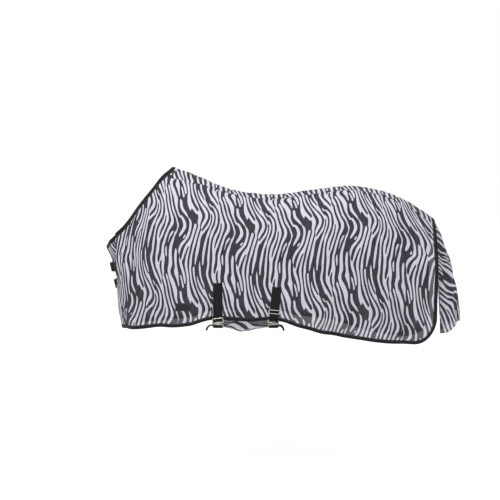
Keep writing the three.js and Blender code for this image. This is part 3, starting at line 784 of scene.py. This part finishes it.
def flat_coordinates(points, tau, g, x_shift, t_shift):
    """Where each point lies on the flat printed cloth. Stripes run down, and lean on the rump."""
    run, down = run_along(points, 1), run_along(points)
    zero = int(np.argmin(np.abs(g[len(g) // 2])))
    s = np.where(g >= 0, points[..., 0], SHOULDER_X + run - run[:, zero : zero + 1])
    at_widest = np.array([np.interp(QUARTER, tau[:, c], down[:, c]) for c in range(tau.shape[1])])
    t = down - at_widest
    above = np.maximum(0, points[..., 2] + 470)
    lean = 0.32 * smoothstep(points[..., 0], 980, 1400) * above
    lean = lean - 0.16 * smoothstep(-points[..., 0], -60, 260) * above
    return s + lean + x_shift, t + t_shift


def cloth_object(name, points, s, t, flip=False):
    """A grid of points as printed cloth; s and t say where each lies on the flat print."""
    faces = grid_faces(*points.shape[:2], flip)
    return mesh_object(name, points, faces, [PRINTED], print_attributes(s, t))


def panel_object(name, side, g, tau, offset, x_shift, t_shift):
    points = laid(g, tau, side, offset)
    s, t = flat_coordinates(points, tau, g, x_shift, t_shift)
    return cloth_object(name, points, s, t, flip=side == LEFT)


# The turned-under front edge: how far in from the edge, and how far out from the cloth.
SELF_HEM = [
    (15, -1.7), (9, -1.8), (4, -1.7), (1.2, -1.4), (0, -0.7), (0.8, -0.1), (4, 0.1), (9, 0.0),
]


def left_panel():
    rows = 160
    v = np.linspace(0, 1, rows)[:, None]
    side_g = side_stations(HINGE_G)
    across = np.linspace(0, 1, 34)[1:-1]
    hem_insets = np.array([inset for inset, _ in SELF_HEM])
    hem_offsets = np.array([offset for _, offset in SELF_HEM])
    chest_columns = len(hem_insets) + len(across)
    g = np.full((rows, chest_columns), HINGE_G)
    z = np.full_like(g, CHEST_TOP_Z)
    for _ in range(14):
        first = front_edge(z)
        hem_g = first[:, : len(hem_insets)] + hem_insets / MM_PER_STATION
        start = first[:, len(hem_insets) :] + 13 / MM_PER_STATION
        g = np.concatenate([hem_g, lerp(start, HINGE_G, across)], axis=1)
        tau = lerp(
            tau_at(SHOULDER_X, meet(g, neck_edge(TAPE_COVER))),
            tau_at(SHOULDER_X, meet(g, hem_edge(TAPE_COVER, LEFT))), v,
        )
        z = ridge(np.float64(SHOULDER_X)) - drop_at(SHOULDER_X, tau)
    side_g = np.broadcast_to(side_g, (rows, len(side_g)))
    side_tau = lerp(cloth_top(side_g), cloth_bottom(side_g, LEFT), v)
    offset = np.concatenate([hem_offsets, np.zeros(len(across) + side_g.shape[1])])
    all_g = np.concatenate([g, side_g], axis=1)
    all_tau = np.concatenate([tau, side_tau], axis=1)
    return panel_object("left_panel", LEFT, all_g, all_tau, offset, 0, 0)


def right_panel():
    rows = 150
    stations = side_stations(UNDERLAP_G)
    g = np.broadcast_to(stations, (rows, len(stations)))
    tau = lerp(cloth_top(g), cloth_bottom(g, RIGHT), np.linspace(0, 1, rows)[:, None])
    return panel_object("right_panel", RIGHT, g, tau, 0.0, 83, 190)


def neck_seam_x(half, inset):
    x = np.full_like(half, 20.0)
    for _ in range(40):
        tau = tau_across(np.maximum(x, 0), half)
        seam = (ridge(x) - drop_at(x, tau) + inset * math.hypot(1, NECK_SLOPE)) / NECK_SLOPE
        x = lerp(x, seam, 0.5)
    return x


def spine_object():
    rows, columns = 33, 260
    half = np.linspace(-SPINE_EDGE, SPINE_EDGE, rows)
    start = neck_seam_x(np.abs(half), TAPE_COVER)[:, None]
    x = lerp(start, REAR_X - TAPE_COVER, np.linspace(0, 1, columns)[None, :])
    tau = np.sign(half)[:, None] * tau_across(x, np.abs(half)[:, None])
    g = station_of(x)
    dome = (1 - (half / SPINE_EDGE) ** 2)[:, None]
    ripple = 0.9 * waves(x, half[:, None], 71, 95, 1.5) + 0.5 * waves(x, half[:, None], 72, 34)
    ripple = 0.9 + dome * ripple
    normal = outward(g, tau + 1e-5, RIGHT)
    normal[..., 2] = np.abs(normal[..., 2])
    points = skin(g, tau, RIGHT) + normal * ripple[..., None]
    down = run_along(points)
    return cloth_object("spine", points, x + 37, down - down[rows // 2] + 90)


# ---- edge tapes ----

# Round the folded tape: how far in from the edge, and how far out from the cloth.
TAPE_SECTION = [
    (20.0, 0.5), (19.6, 0.95), (15, 1.25), (9, 1.3), (3, 1.35), (0.8, 1.0), (-0.2, 0.1),
    (-0.5, -1.2), (-0.2, -2.4), (0.8, -3.2), (3, -3.5), (10, -3.4), (15, -3.3), (19.6, -2.9),
    (20.0, -2.3), (20.2, -0.9),
]
STITCH_INSET = 16.5


def weave_values(line, across):
    """The weave of a swept strip: how far along it and across it each point lies."""
    along, across = np.broadcast_arrays(run_along(line)[:, None], np.asarray(across, float)[None])
    return np.stack([along, across, 0 * along], -1).reshape(-1, 3) * MM


def tape_solid(rings, line, insets, stitch_line, stitch_normals):
    solid = Solid()
    solid.sweep(rings, weave=weave_values(line, np.array(insets) - BINDING_WIDTH / 2))
    solid.stitches(stitch_line, stitch_normals)
    return solid


def tape_object(name, place, side):
    """A folded tape. place(inset) gives the stations and angles of a line along the edge."""
    rings = np.stack([laid(*place(i), side, offset) for i, offset in TAPE_SECTION], axis=1)
    insets = [inset for inset, _ in TAPE_SECTION]
    g, tau = place(STITCH_INSET)
    stitched = laid(g, tau, side, 1.35)
    solid = tape_solid(rings, rings[:, 4], insets, stitched, outward(g, tau, side))
    return solid.finish(name, [TAPE, GREY_THREAD])


MIDLINE = 0.012  # the two sides' tapes stop just short of each other on the back


def neck_place(first, end_tau, count):
    def place(inset):
        share = np.sin(np.linspace(0, QUARTER, count)) ** 0.8
        end = station_of(27 * max(inset, 0) / BINDING_WIDTH)
        g = lerp(first, end, share)
        tau = tau_at(station_x(g), meet(g, neck_edge(inset)))
        return g, np.maximum(end_tau, tau)

    return place


def left_neck_place(inset):
    return neck_place(front_edge(np.float64(CHEST_TOP_Z + 55)), MIDLINE, 150)(inset)


def hem_and_rear_place(first, side):
    corner_x = REAR_X - REAR_CORNER

    def place(inset):
        radius = REAR_CORNER - inset
        g = np.linspace(first, station_of(corner_x), 330)
        tau = tau_at(station_x(g), meet(g, hem_edge(inset, side)))
        turn = np.linspace(0, QUARTER, 30)[1:]
        x = corner_x + radius * np.sin(turn)
        corner_tau = tau_at(x, hem_height(corner_x, side) + REAR_CORNER - radius * np.cos(turn))
        rear_x = np.full(120, REAR_X - inset)
        rear_tau = np.linspace(corner_tau[-1], MIDLINE, 121)[1:]
        return (
            np.concatenate([g, station_of(x), station_of(rear_x)]),
            np.concatenate([tau, corner_tau, rear_tau]),
        )

    return place


# ---- tail flap ----

TAIL_BACK = LineThrough([(0, 1418), (37, 1440), (124, 1478), (300, 1527), (507, 1564), (590, 1568)])
TAIL_TOP_HALF, TAIL_HALF, TAIL_LENGTH, SIDE_DROP = 60, 112, 574, 14
TAIL_BELOW = 10  # the flap starts this far below the back's rear end
TAIL_LIFT = 28  # the hem is this much higher behind than at its sides
FAR_SIDE_BACK = 34  # the right side hangs further back than the left one


def tail_surface(u, v):
    turn = (2 * u - 1) * QUARTER
    down = np.clip(v, 0, 1.01)
    half = lerp(TAIL_TOP_HALF, TAIL_HALF, smoothstep(down, 0, 0.4))
    length = TAIL_LENGTH - TAIL_LIFT + (SIDE_DROP + TAIL_LIFT) * np.sin(turn) ** 6
    front = REAR_X + 5 + (32 + FAR_SIDE_BACK * np.maximum(0, np.sin(turn)) ** 1.5) * down**0.6
    depth = np.maximum(0, TAIL_BACK(down * TAIL_LENGTH) - front) * np.abs(np.cos(turn)) ** 0.7
    fall = 27 * np.sin(turn) ** 2
    z = top_line(np.float64(REAR_X)) - TAIL_BELOW - fall - v * length
    return np.stack([front + depth, half * np.sin(turn), z], -1)


def tail_object():
    rows, columns = 120, 66
    u, v = np.meshgrid(np.linspace(0, 1, columns), np.linspace(0, 1, rows))
    points = tail_surface(u, v)
    step = 2e-3
    inner_u = np.clip(u, 0.02, 0.98)
    along = tail_surface(inner_u + step, v) - tail_surface(inner_u - step, v)
    down = tail_surface(inner_u, np.minimum(v + step, 1)) - tail_surface(inner_u, v - step)
    normal = unit(np.cross(along, down))
    outside = np.stack([np.full(u.shape, 0.2), u - 0.5, 0 * u], -1)
    normal = normal * np.sign(np.sum(normal * outside, -1))[..., None]
    folds_down = smoothstep(v, 0.05, 0.5)
    pleats = np.sin(2 * math.pi * (3.2 * u + 0.35 * np.sin(4 * v) + 0.1)) * 6.0
    pleats = pleats + 3.2 * np.sin(2 * math.pi * (6.5 * u - 0.6 * v + 0.4))
    ripple = 1.6 * waves(u * 300, v * 580, 91, 130, 1.8)
    points = points + normal * (pleats * folds_down + ripple * smoothstep(v, 0, 0.15))[..., None]
    run = run_along(points, 1)
    s = run - run[:, columns // 2 : columns // 2 + 1]
    t = v * TAIL_LENGTH
    s, t = 0.8 * s - 0.48 * t + 20, 0.8 * t + 0.3 * s + 35 - REPEAT[1]
    return cloth_object("tail_cover", points, s, t, flip=True)


# ---- belly flap ----

BELLY_FAR_Y, BELLY_NEAR_Y = 252, -222
BELLY_FAR_Z, BELLY_NEAR_Z, BELLY_LOW_Z = -818, -848, -870
BELLY_FAR_X, BELLY_NEAR_X = (205, 590), (222, 570)
BELLY_SAG = 27
BELLY_EDGE_RISE = 25
BELLY_LIFT = 1.5 * UP  # the cloth lies this far above the straps' surface


def belly_surface(u, s):
    low = BELLY_FAR_Y / (BELLY_FAR_Y - BELLY_NEAR_Y)
    fall = BELLY_LOW_Z - BELLY_FAR_Z - low * (BELLY_NEAR_Z - BELLY_FAR_Z)
    z = lerp(BELLY_FAR_Z, BELLY_NEAR_Z, s) + fall * s * (1 - s) / (low * (1 - low))
    middle = np.sin(np.clip((u - 0.17) / 0.66, 0, 1) ** 0.85 * math.pi) ** 2
    sag = middle * (BELLY_SAG * s * (1 - smoothstep(s, 0.93, 1.0)) - BELLY_EDGE_RISE * s**12)
    x = lerp(lerp(BELLY_FAR_X[0], BELLY_NEAR_X[0], s), lerp(BELLY_FAR_X[1], BELLY_NEAR_X[1], s), u)
    y = lerp(BELLY_FAR_Y, BELLY_NEAR_Y, s)
    return np.stack([x, y, z - sag + belly_folds(u, s)], -1)


def belly_folds(u, s):
    """Slack cloth between the two straps: folds that run along the flap's near edge."""
    slack = np.sin(np.clip((u - 0.12) / 0.76, 0, 1) * math.pi) ** 0.8
    near = smoothstep(s, 0.25, 0.95)
    along = np.sin(2 * math.pi * (5.0 * s + 0.22 * np.sin(7 * u) + 0.1)) * 4.5
    slanted = np.sin(2 * math.pi * (2.2 * u + 2.6 * s)) * 1.6
    return slack * near * (along + slanted + 1.4 * waves(u * 380, s * 470, 55, 80))


def belly_object():
    u, s = np.meshgrid(np.linspace(0.012, 0.988, 80), 1 - np.linspace(1, 0.03, 104) ** 1.6)
    points = belly_surface(u, s) + BELLY_LIFT
    x = points[..., 0]
    return cloth_object("belly_cover", points, s * 500 + 0.35 * x, x + 210)


BELLY_TAPE_SECTION = [
    (20, 1.0), (15, 1.5), (6, 1.5), (1, 1.3), (-0.4, 0.0), (1, -1.3), (6, -1.5), (15, -1.5),
    (20, -1.0),
]


def belly_tape(name, us, ss, inward):
    """Tape along an edge of the belly flap, stitched on its outer face, which is below."""
    line = belly_surface(us, ss) + BELLY_LIFT
    inward, down = np.array(inward), -UP
    rings = np.stack([line + inward * i + down * o for i, o in BELLY_TAPE_SECTION], axis=1)
    insets = [inset for inset, _ in BELLY_TAPE_SECTION]
    stitched = line + inward * STITCH_INSET + down * 1.55
    solid = tape_solid(rings, line, insets, stitched, np.broadcast_to(down, line.shape))
    return solid.finish(name, [TAPE, GREY_THREAD])


# ---- webbing ----


def webbing_solid(line, normals, across, width=WEBBING_WIDTH, thickness=WEB_THICK):
    """A strip of webbing with rounded edges."""
    half, high = width / 2, thickness / 2
    section = []
    for y in (-1, -0.97, -0.9, -0.6, -0.3, 0, 0.3, 0.6, 0.9, 0.97):
        section.append((y * half, high * (0.35 if y == -1 else 0.8 if abs(y) == 0.97 else 1.0)))
    section.append((half, high * 0.35))
    outline = section + [(y, -h) for y, h in reversed(section)]
    rings = np.stack([line + across * y + normals * h for y, h in outline], axis=1)
    solid = Solid()
    solid.sweep(rings, weave=weave_values(line, [y for y, _ in outline]))
    return solid


def smooth_line(points, step, rounds):
    """Points at even steps along a path, with its corners rounded off."""
    points = np.array(points, float)
    length = run_along(points)[-1]
    at = np.linspace(0, length, max(3, int(length / step)))
    points = along_line(points, at, points)[0]
    for _ in range(rounds):
        points[1:-1] = 0.25 * points[:-2] + 0.5 * points[1:-1] + 0.25 * points[2:]
    return points


def in_section(path):
    """A smooth line and its normals, from a path drawn outward and up."""
    path = smooth_line(path, 2.2, 3)
    run = unit(np.gradient(path, axis=0))
    return OUT * path[:, :1] + UP * path[:, 1:], UP * run[:, :1] - OUT * run[:, 1:]


def arc(centre, radius, start, end, count):
    angles = np.linspace(start, end, count)
    return [(centre[0] + radius * math.cos(a), centre[1] + radius * math.sin(a)) for a in angles]


RING_OUT = BARREL_HALF - float(tuck(np.float64(RING_Z))) + 12.5
HOOK_OUT = RING_OUT - 4
HOOK_REACH = 21
HOOK_FOOT_Z = RING_Z - 12.5 - HOOK_REACH
WRAP = 4.0
RING_GAP = 4.0  # how far the strap stands off the cloth towards its ring


def box_stitch(solid, line, normals, across, first, last, crossed=True):
    """A stitched box on the outer face of a strap, with a cross or one diagonal in it."""
    across = np.broadcast_to(across, line.shape)
    share = np.linspace(0, 1, 12)
    half = 20
    corners = [(first, -half), (first, half), (last, half), (last, -half), (first, -half),
               (last, half), (first, half), (last, -half)]
    if not crossed:
        corners = corners[:-2]
    for (a0, s0), (a1, s1) in zip(corners[:-1], corners[1:]):
        centre, normal, sideways = along_line(line, lerp(a0, a1, share), line, normals, across)
        sideways = unit(sideways) * lerp(s0, s1, share)[:, None]
        normal = unit(normal)
        solid.stitches(centre + sideways + normal * (WEB_THICK / 2 + 0.1), normal)


def leaning(angle):
    """The directions along and up something that leans by an angle."""
    sine, cosine = math.sin(angle), math.cos(angle)
    return ALONG * cosine - UP * sine, UP * cosine + ALONG * sine


def belly_strap(which, slant):
    """Webbing that is sewn to the side and goes round the ring's bar from behind."""
    top = STRAP_TOP_Z[which]
    zs = np.linspace(top, RING_Z + 16, 50)
    body = BARREL_HALF - tuck(zs) + 0.9 + WEB_THICK / 2
    lift = RING_GAP * smoothstep(-zs, -(top - 40), -(top - 110))
    path = np.stack([body + lift, zs], -1).tolist()
    path += arc((RING_OUT, RING_Z), WRAP, math.pi, 2 * math.pi + 0.45 * math.pi, 20)
    line, normals = in_section(path)
    above_ring = line[:, 2] - RING_Z
    bend = 0.8 * waves(line[:, 2], 0 * above_ring, 77, 60) * smoothstep(above_ring, 20, 60)
    line = line + OUT * bend[:, None]
    solid = webbing_solid(line, normals, ALONG)
    box_stitch(solid, line, -normals, ALONG, 5, 42)
    lean_x, lean_z = leaning(slant)
    solid.place(ALONG * STRAP_X[which] + RING_Z * (UP - lean_z), lean_x, -OUT, lean_z)
    return solid.finish(which + "_side_strap", [WEBBING, BLACK_THREAD])


def rounded_rectangle(half_x, low, high, radius):
    """Points round a rounded rectangle in a fitting's own plane."""
    x, low, high = half_x - radius, low + radius, high - radius
    points = []
    for quarter, centre in enumerate([(x, high), (-x, high), (-x, low), (x, low)]):
        points += arc(centre, radius, quarter * QUARTER, (quarter + 1) * QUARTER, 6)
    return np.column_stack([points, np.zeros(len(points))])


def tube_rings(line, radius_a, radius_b, closed):
    """Rings of a bar with an oval section: radius_a in the fitting's plane, radius_b out of it."""
    if closed:
        run = unit(np.roll(line, -1, axis=0) - np.roll(line, 1, axis=0))
    else:
        run = unit(np.gradient(line, axis=0))
    side = unit(np.cross(UP, run))
    angles = np.linspace(0, 2 * math.pi, 10, endpoint=False)
    rings = [line + side * radius_a * math.cos(a) + UP * radius_b * math.sin(a) for a in angles]
    return np.stack(rings, 1)


def ring_fitting(upper_bar):
    """A wire ring round its middle bar at the origin; the hook takes the lower bar."""
    fitting = Solid()
    high = 10.5 if upper_bar else 0
    fitting.bar(rounded_rectangle(28.7, -13, high, 3.2 if upper_bar else 2.2), closed=True)
    if upper_bar:
        fitting.bar([(x, 0, 0) for x in (-28.4, -14, 0, 14, 28.4)], 1.7, 1.3)
    return fitting


def hook_fitting():
    """A T-shaped hook above a slotted foot that webbing goes through."""
    fitting = Solid()
    fitting.bar(rounded_rectangle(27.6, 0, 10.6, 2.4), 1.8, 1.4, closed=True)
    neck = np.array([(0, 10.5, 0), (0, 13, 0), (0, 16, 0), (0, HOOK_REACH - 2, 0)])
    rings = tube_rings(neck, 1.0, 1.35, False)
    rings[..., 0] *= np.array([7.0, 4.6, 3.9, 4.4])[:, None]  # it narrows between its ends
    fitting.sweep(rings)
    xs = np.linspace(-17, 17, 13)
    fitting.bar(np.stack([xs, HOOK_REACH - 1.7 - 0.4 * (xs / 17) ** 2, 0 * xs], -1), 1.8, 1.5)
    return fitting


def slide_fitting():
    """A buckle frame over the webbing with a bar behind it."""
    fitting = Solid()
    frame_line = rounded_rectangle(28.7, -9.5, 9.5, 3.5)
    frame_line[:, 2] = 2.9
    fitting.bar(frame_line, 1.7, 1.1, closed=True)
    fitting.bar([(x, 0, -2.6) for x in (-28.8, -14, 0, 14, 28.8)], 1.7, 1.2)
    for end in (-28.7, 28.7):
        fitting.bar([(end, 0, -3.2), (end, 0, 0), (end, 0, 3.4)], 1.3, 1.3)
    return fitting


def flap_strap(which):
    """Webbing under the belly flap that goes round the hook's foot from below."""
    x = STRAP_X[which]
    ss = np.linspace(0.80, 0.998, 16)
    front, rear = (lerp(BELLY_FAR_X[end], BELLY_NEAR_X[end], ss) for end in (0, 1))
    under = belly_surface((x - front) / (rear - front), ss)
    path = np.stack([-under[:, 1], under[:, 2] - 2.6], -1).tolist()
    path.append((HOOK_OUT - 24, HOOK_FOOT_Z - 4.5))
    loop = arc((0, 0), 1, -QUARTER, 0.95 * QUARTER, 18)
    path += [(HOOK_OUT + 6.4 * a, HOOK_FOOT_Z + 1.6 + 5.6 * b) for a, b in loop]
    path.append((HOOK_OUT - 9, HOOK_FOOT_Z + 4.6))
    line, normals = in_section(path)
    line = line + ALONG * x
    solid = webbing_solid(line, normals, ALONG)
    box_stitch(solid, line, -normals, ALONG, 4, 40)
    return solid.finish(which + "_under_strap", [WEBBING, BLACK_THREAD])


# Each loose end's way out from the hook's foot: along the sheet, inward and up.
LOOSE_ENDS = {
    "front": [(0, 0, 0), (-8, 1, 3), (-16, -1, 4), (-24, -2, 1), (-31, -1, -7), (-36, 1, -17),
              (-38, 2, -25)],
    "rear": [(0, 0, 0), (8, 1, 2), (16, -1, 2), (23, -2, -3), (28, -1, -11), (31, 1, -19),
             (32, 2, -26)],
}


def loose_end(which):
    """The free end of the flap's strap, which curls out beside the hook."""
    x = STRAP_X[which] + (22 if which == "rear" else -22)
    line = np.array([x, -(HOOK_OUT + 4.5), HOOK_FOOT_Z + 5.0]) + np.array(LOOSE_ENDS[which])
    line = smooth_line(line, 2.0, 4)
    run = unit(np.gradient(line, axis=0))
    flat_across = np.cross(run, np.array([0, 1.0, 0]))
    across = unit(0.42 * flat_across + np.array([0, 0.9, 0]))
    normals = unit(np.cross(across, run))
    solid = webbing_solid(line, normals, across, width=23, thickness=2.0)
    return solid.finish(which + "_loose_end", [WEBBING, BLACK_THREAD])


# ---- chest straps ----

CHEST_STRAP_Z = {"upper": -545, "lower": -636}
RING_LAYER, HOOK_LAYER = -5.5, -0.8
RING_BAR_Y, HOOK_FOOT_Y = 13, -21.75
CHEST_NORMAL = unit(np.array([-1.0, 0, -CHEST_LEAN]))
CHEST_UP = unit(np.array([-CHEST_LEAN, 0, 1.0]))
ACROSS = np.array([0, 1.0, 0])


def chest_middle(z):
    return np.array([chest_front(z), 0, z])


def chest_webbing(name, z, lying_g, side, offsets, path):
    """Webbing along the body and then round a bar at the middle of the chest."""
    tau = tau_at(SHOULDER_X, np.full(len(lying_g), float(z)))
    lying = skin(lying_g, tau, side) + outward(lying_g, tau, side) * offsets[:, None]
    path = np.array(path)
    flat = chest_middle(z) + ACROSS * path[:, :1] + CHEST_NORMAL * path[:, 1:]
    line = smooth_line(np.concatenate([lying, flat]), 2.4, 3)
    run = unit(np.gradient(line, axis=0))
    normals = unit(np.cross(CHEST_UP, run))
    across = unit(np.cross(run, normals))
    solid = webbing_solid(line, normals, across)
    facing = np.sign(normals[0] @ np.array([-1.0, side, 0]))
    box_stitch(solid, line, normals * facing, across, 5, 40, crossed=False)
    return solid.finish(name, [WEBBING, BLACK_THREAD])


def chest_fastening(which):
    """A strap with its hook on the left half, and a loop with its ring on the right one."""
    z = CHEST_STRAP_Z[which]
    hook_path = [
        (HOOK_FOOT_Y - 14, HOOK_LAYER - WRAP - 0.3),
        *arc((HOOK_FOOT_Y, HOOK_LAYER), WRAP, -QUARTER, QUARTER, 16),
        (HOOK_FOOT_Y - 24, HOOK_LAYER + WRAP - 0.3),
    ]
    left_g = np.linspace(-0.36, -0.80, 24)
    under = np.full(24, -6.0)
    strap = chest_webbing(which + "_breast_strap", z, left_g, LEFT, under, hook_path)
    ring_path = [
        (RING_BAR_Y + 14, RING_LAYER - WRAP),
        *arc((RING_BAR_Y, RING_LAYER), WRAP, 3 * QUARTER, QUARTER, 16),
        (RING_BAR_Y + 20, RING_LAYER + WRAP),
    ]
    right_g = np.linspace(-0.50, -0.82, 20)
    over = 2.0 - sink_at(right_g, z)
    loop = chest_webbing(which + "_breast_loop", z, right_g, RIGHT, over, ring_path)
    for kind, fitting, y, layer in (("hook", hook_fitting(), HOOK_FOOT_Y, HOOK_LAYER),
                                    ("ring", ring_fitting(False), RING_BAR_Y, RING_LAYER)):
        origin = chest_middle(z) + ACROSS * y + CHEST_NORMAL * layer
        fitting.place(origin, -CHEST_UP, ACROSS, CHEST_NORMAL)
        settle_fitting(fitting, f"{which}_breast_{kind}", f"{which}_chest_{kind}")
    settle(strap, CHEST, "webbing", which + "_chest_strap")
    settle(loop, ROOT, "webbing", which + "_ring_strap")


# ---- patches ----


def patch_solid(x, z, width, height, inner, outer):
    """A thin cushion of cloth on the left side, with rounded edges."""
    columns, rows = 24, 14
    u, v = np.meshgrid(np.linspace(0, 1, columns), np.linspace(0, 1, rows))
    at_x = lerp(x - width / 2, x + width / 2, u)
    at_z = lerp(z + height / 2, z - height / 2, v)
    g, tau = station_of(at_x), tau_at(at_x, at_z)
    rim = np.minimum(np.minimum(u, 1 - u) * width, np.minimum(v, 1 - v) * height)
    crown = smoothstep(rim, -0.5, 1.6)
    folded = 0.35 * (1 - smoothstep(rim, 5.0, 6.0))
    top = laid(g, tau, LEFT, inner + (outer - inner) * crown + folded)
    bottom = laid(g, tau, LEFT, inner)
    count = rows * columns
    index = np.arange(count).reshape(rows, columns)
    faces = grid_faces(rows, columns, flip=True)
    faces += [[i + count for i in reversed(face)] for face in faces]
    border = np.concatenate([index[0, :-1], index[:-1, -1], index[-1, :0:-1], index[:0:-1, 0]])
    after = np.roll(border, -1)
    faces += np.stack([border, after, after + count, border + count], -1).tolist()
    weave = np.stack([(u - 0.5) * width, (v - 0.5) * height, 0 * u], -1).reshape(-1, 3) * MM
    solid = Solid()
    solid.add(np.stack([top, bottom]), faces, weave=np.concatenate([weave, weave]))
    inset = 3.0
    corners = [(-1, -1), (1, -1), (1, 1), (-1, 1), (-1, -1)]
    for (a0, b0), (a1, b1) in zip(corners[:-1], corners[1:]):
        share = np.linspace(0, 1, 20)
        sx = x + lerp(a0, a1, share) * (width / 2 - inset)
        sz = z + lerp(b0, b1, share) * (height / 2 - inset)
        sg, st = station_of(sx), tau_at(sx, sz)
        height_out, facing = (outer, 1) if outer > 0 else (inner, -1)
        stitched = laid(sg, st, LEFT, height_out + 0.4 * facing)
        solid.stitches(stitched, outward(sg, st, LEFT) * facing)
    return solid


# ---- putting the sheet together ----

ROOT, CHEST, BELLY, TAIL = "sheet", "left_chest", "belly_flap", "tail_flap"


def settle(obj, body, slot_name, *nodes):
    """Ties a piece to its body; where body is None, for a piece that spans the chest hinge, bakes
    its place into its points instead.
    """
    if body is None:
        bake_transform(obj)
    else:
        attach(obj, body)
    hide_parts(*nodes)
    return obj


def settle_fitting(fitting, name, body):
    """A fitting rides the body that is named after the node it stands for."""
    settle(fitting.finish(name, [NICKEL]), body, "fittings", body)


left = settle(left_panel(), None, "printed_mesh", "left_side_panel", "left_chest_flap")
right = settle(right_panel(), ROOT, "printed_mesh", "right_side_panel")
spine = settle(spine_object(), ROOT, "printed_mesh", "spine_strip")
tail = settle(tail_object(), TAIL, "printed_mesh", "tail_flap")
belly = settle(belly_object(), BELLY, "printed_mesh", "belly_flap")

left_neck = tape_object("left_neck_tape", left_neck_place, LEFT)
settle(left_neck, None, "edge_binding", "left_neck_binding", "left_chest_neck_binding")
right_neck = tape_object("right_neck_tape", neck_place(UNDERLAP_G, MIDLINE, 190), RIGHT)
settle(right_neck, ROOT, "edge_binding", "right_neck_binding")
left_first = float(front_edge(np.float64(-870)))
left_hem = tape_object("left_edge_tape", hem_and_rear_place(left_first, LEFT), LEFT)
settle(left_hem, None, "edge_binding",
       "left_hem_binding", "left_chest_hem_binding", "left_rear_binding")
right_hem = tape_object("right_edge_tape", hem_and_rear_place(UNDERLAP_G, RIGHT), RIGHT)
settle(right_hem, ROOT, "edge_binding", "right_hem_binding", "right_rear_binding")

span = np.linspace(0, 1, 70)
for edge, us, ss, inward in (
    ("front", 0 * span, span, (1, 0, 0)),
    ("rear", 0 * span + 1, span, (-1, 0, 0)),
    ("near", lerp(0.004, 0.996, span), 0 * span + 1, (0, 1, 0.02)),
):
    tape = belly_tape(f"belly_{edge}_tape", us, ss, inward)
    settle(tape, BELLY, "edge_binding", f"belly_flap_{edge}_binding")

settle(belly_strap("front", 0.0), ROOT, "webbing", "front_belly_strap")
settle(belly_strap("rear", REAR_SLANT), ROOT, "webbing", "rear_belly_strap")
for which in ("front", "rear"):
    settle(flap_strap(which), BELLY, "webbing", which + "_flap_strap")
    settle(loose_end(which), BELLY, "webbing", which + "_strap_tail")

FRONT_RING_TILT = math.radians(-8)
SLIDE_TIP = 0.13  # the slide's top leans out with the strap

for which, upper_bar, slant in (("front", True, FRONT_RING_TILT), ("rear", False, REAR_SLANT)):
    ring = ring_fitting(upper_bar)
    ring.place(np.array([STRAP_X[which], -RING_OUT, RING_Z]), *leaning(slant), OUT)
    settle_fitting(ring, which + "_side_ring", which + "_belly_ring")
for which in ("front", "rear"):
    hook = hook_fitting()
    hook.place(np.array([STRAP_X[which], -HOOK_OUT, HOOK_FOOT_Z]), ALONG, UP, OUT)
    settle_fitting(hook, which + "_side_hook", which + "_belly_hook")

low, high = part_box("rear_belly_slide")
lean_x, lean_z = leaning(REAR_SLANT)
slide_up = unit(lean_z + SLIDE_TIP * OUT)
slide = slide_fitting()
slide.place(np.array((low + high) / 2) / MM, lean_x, slide_up, unit(np.cross(lean_x, slide_up)))
settle_fitting(slide, "rear_side_slide", "rear_belly_slide")

for which in ("upper", "lower"):
    chest_fastening(which)

label = patch_solid(69, -744, 84, 42, 0.3, 1.7).finish("blank_label", [LABEL, GREY_THREAD])
settle(label, ROOT, "label", "label_patch")
for which, x, z in (("front", 251, -640), ("rear", 562, -661)):
    patch = patch_solid(x, z, 64, 54, -3.4, -1.0)
    patch = patch.finish(which + "_strap_patch", [TAPE, BLACK_THREAD])
    settle(patch, ROOT, "edge_binding", which + "_strap_backing")

# ---- floor, light and world ----

FLOOR_Z = -1.62
floor_material = Material("floor")
floor_where = floor_material.node("ShaderNodeTexCoord").outputs["Object"]
floor_tone = floor_material.noise(floor_where, 1.5, 3.0)
floor_material.set(
    Base_Color=floor_material.mix(floor_tone, colour(0.80, 0.80, 0.80), colour(0.83, 0.83, 0.83)),
    Roughness=0.95, Emission_Color=colour(1, 1, 1), Emission_Strength=0.3,
)
turns = np.linspace(0, 2 * math.pi, 96, endpoint=False)
rim = np.stack([40000 * np.cos(turns), 40000 * np.sin(turns), 0 * turns + FLOOR_Z / MM], -1)
floor = mesh_object("floor", rim, [tuple(range(96))], [floor_material.material])

world = bpy.data.worlds.new("studio")
world.use_nodes = True
world.node_tree.nodes["Background"].inputs["Color"].default_value = (1, 1, 1, 1)
world.node_tree.nodes["Background"].inputs["Strength"].default_value = 1.0
bpy.context.scene.world = world

light_data = bpy.data.lights.new("softbox_top", "AREA")
light_data.shape = "SQUARE"
light_data.size = 1.5
light_data.energy = 110
light = bpy.data.objects.new("softbox_top", light_data)
light.location = (-0.8, -1.9, 3.3)
light.rotation_euler = (AIM - light.location).to_track_quat("-Z", "Y").to_euler()
bpy.context.scene.collection.objects.link(light)

bpy.context.scene.view_settings.view_transform = "Standard"
bpy.context.scene.view_settings.look = "None"
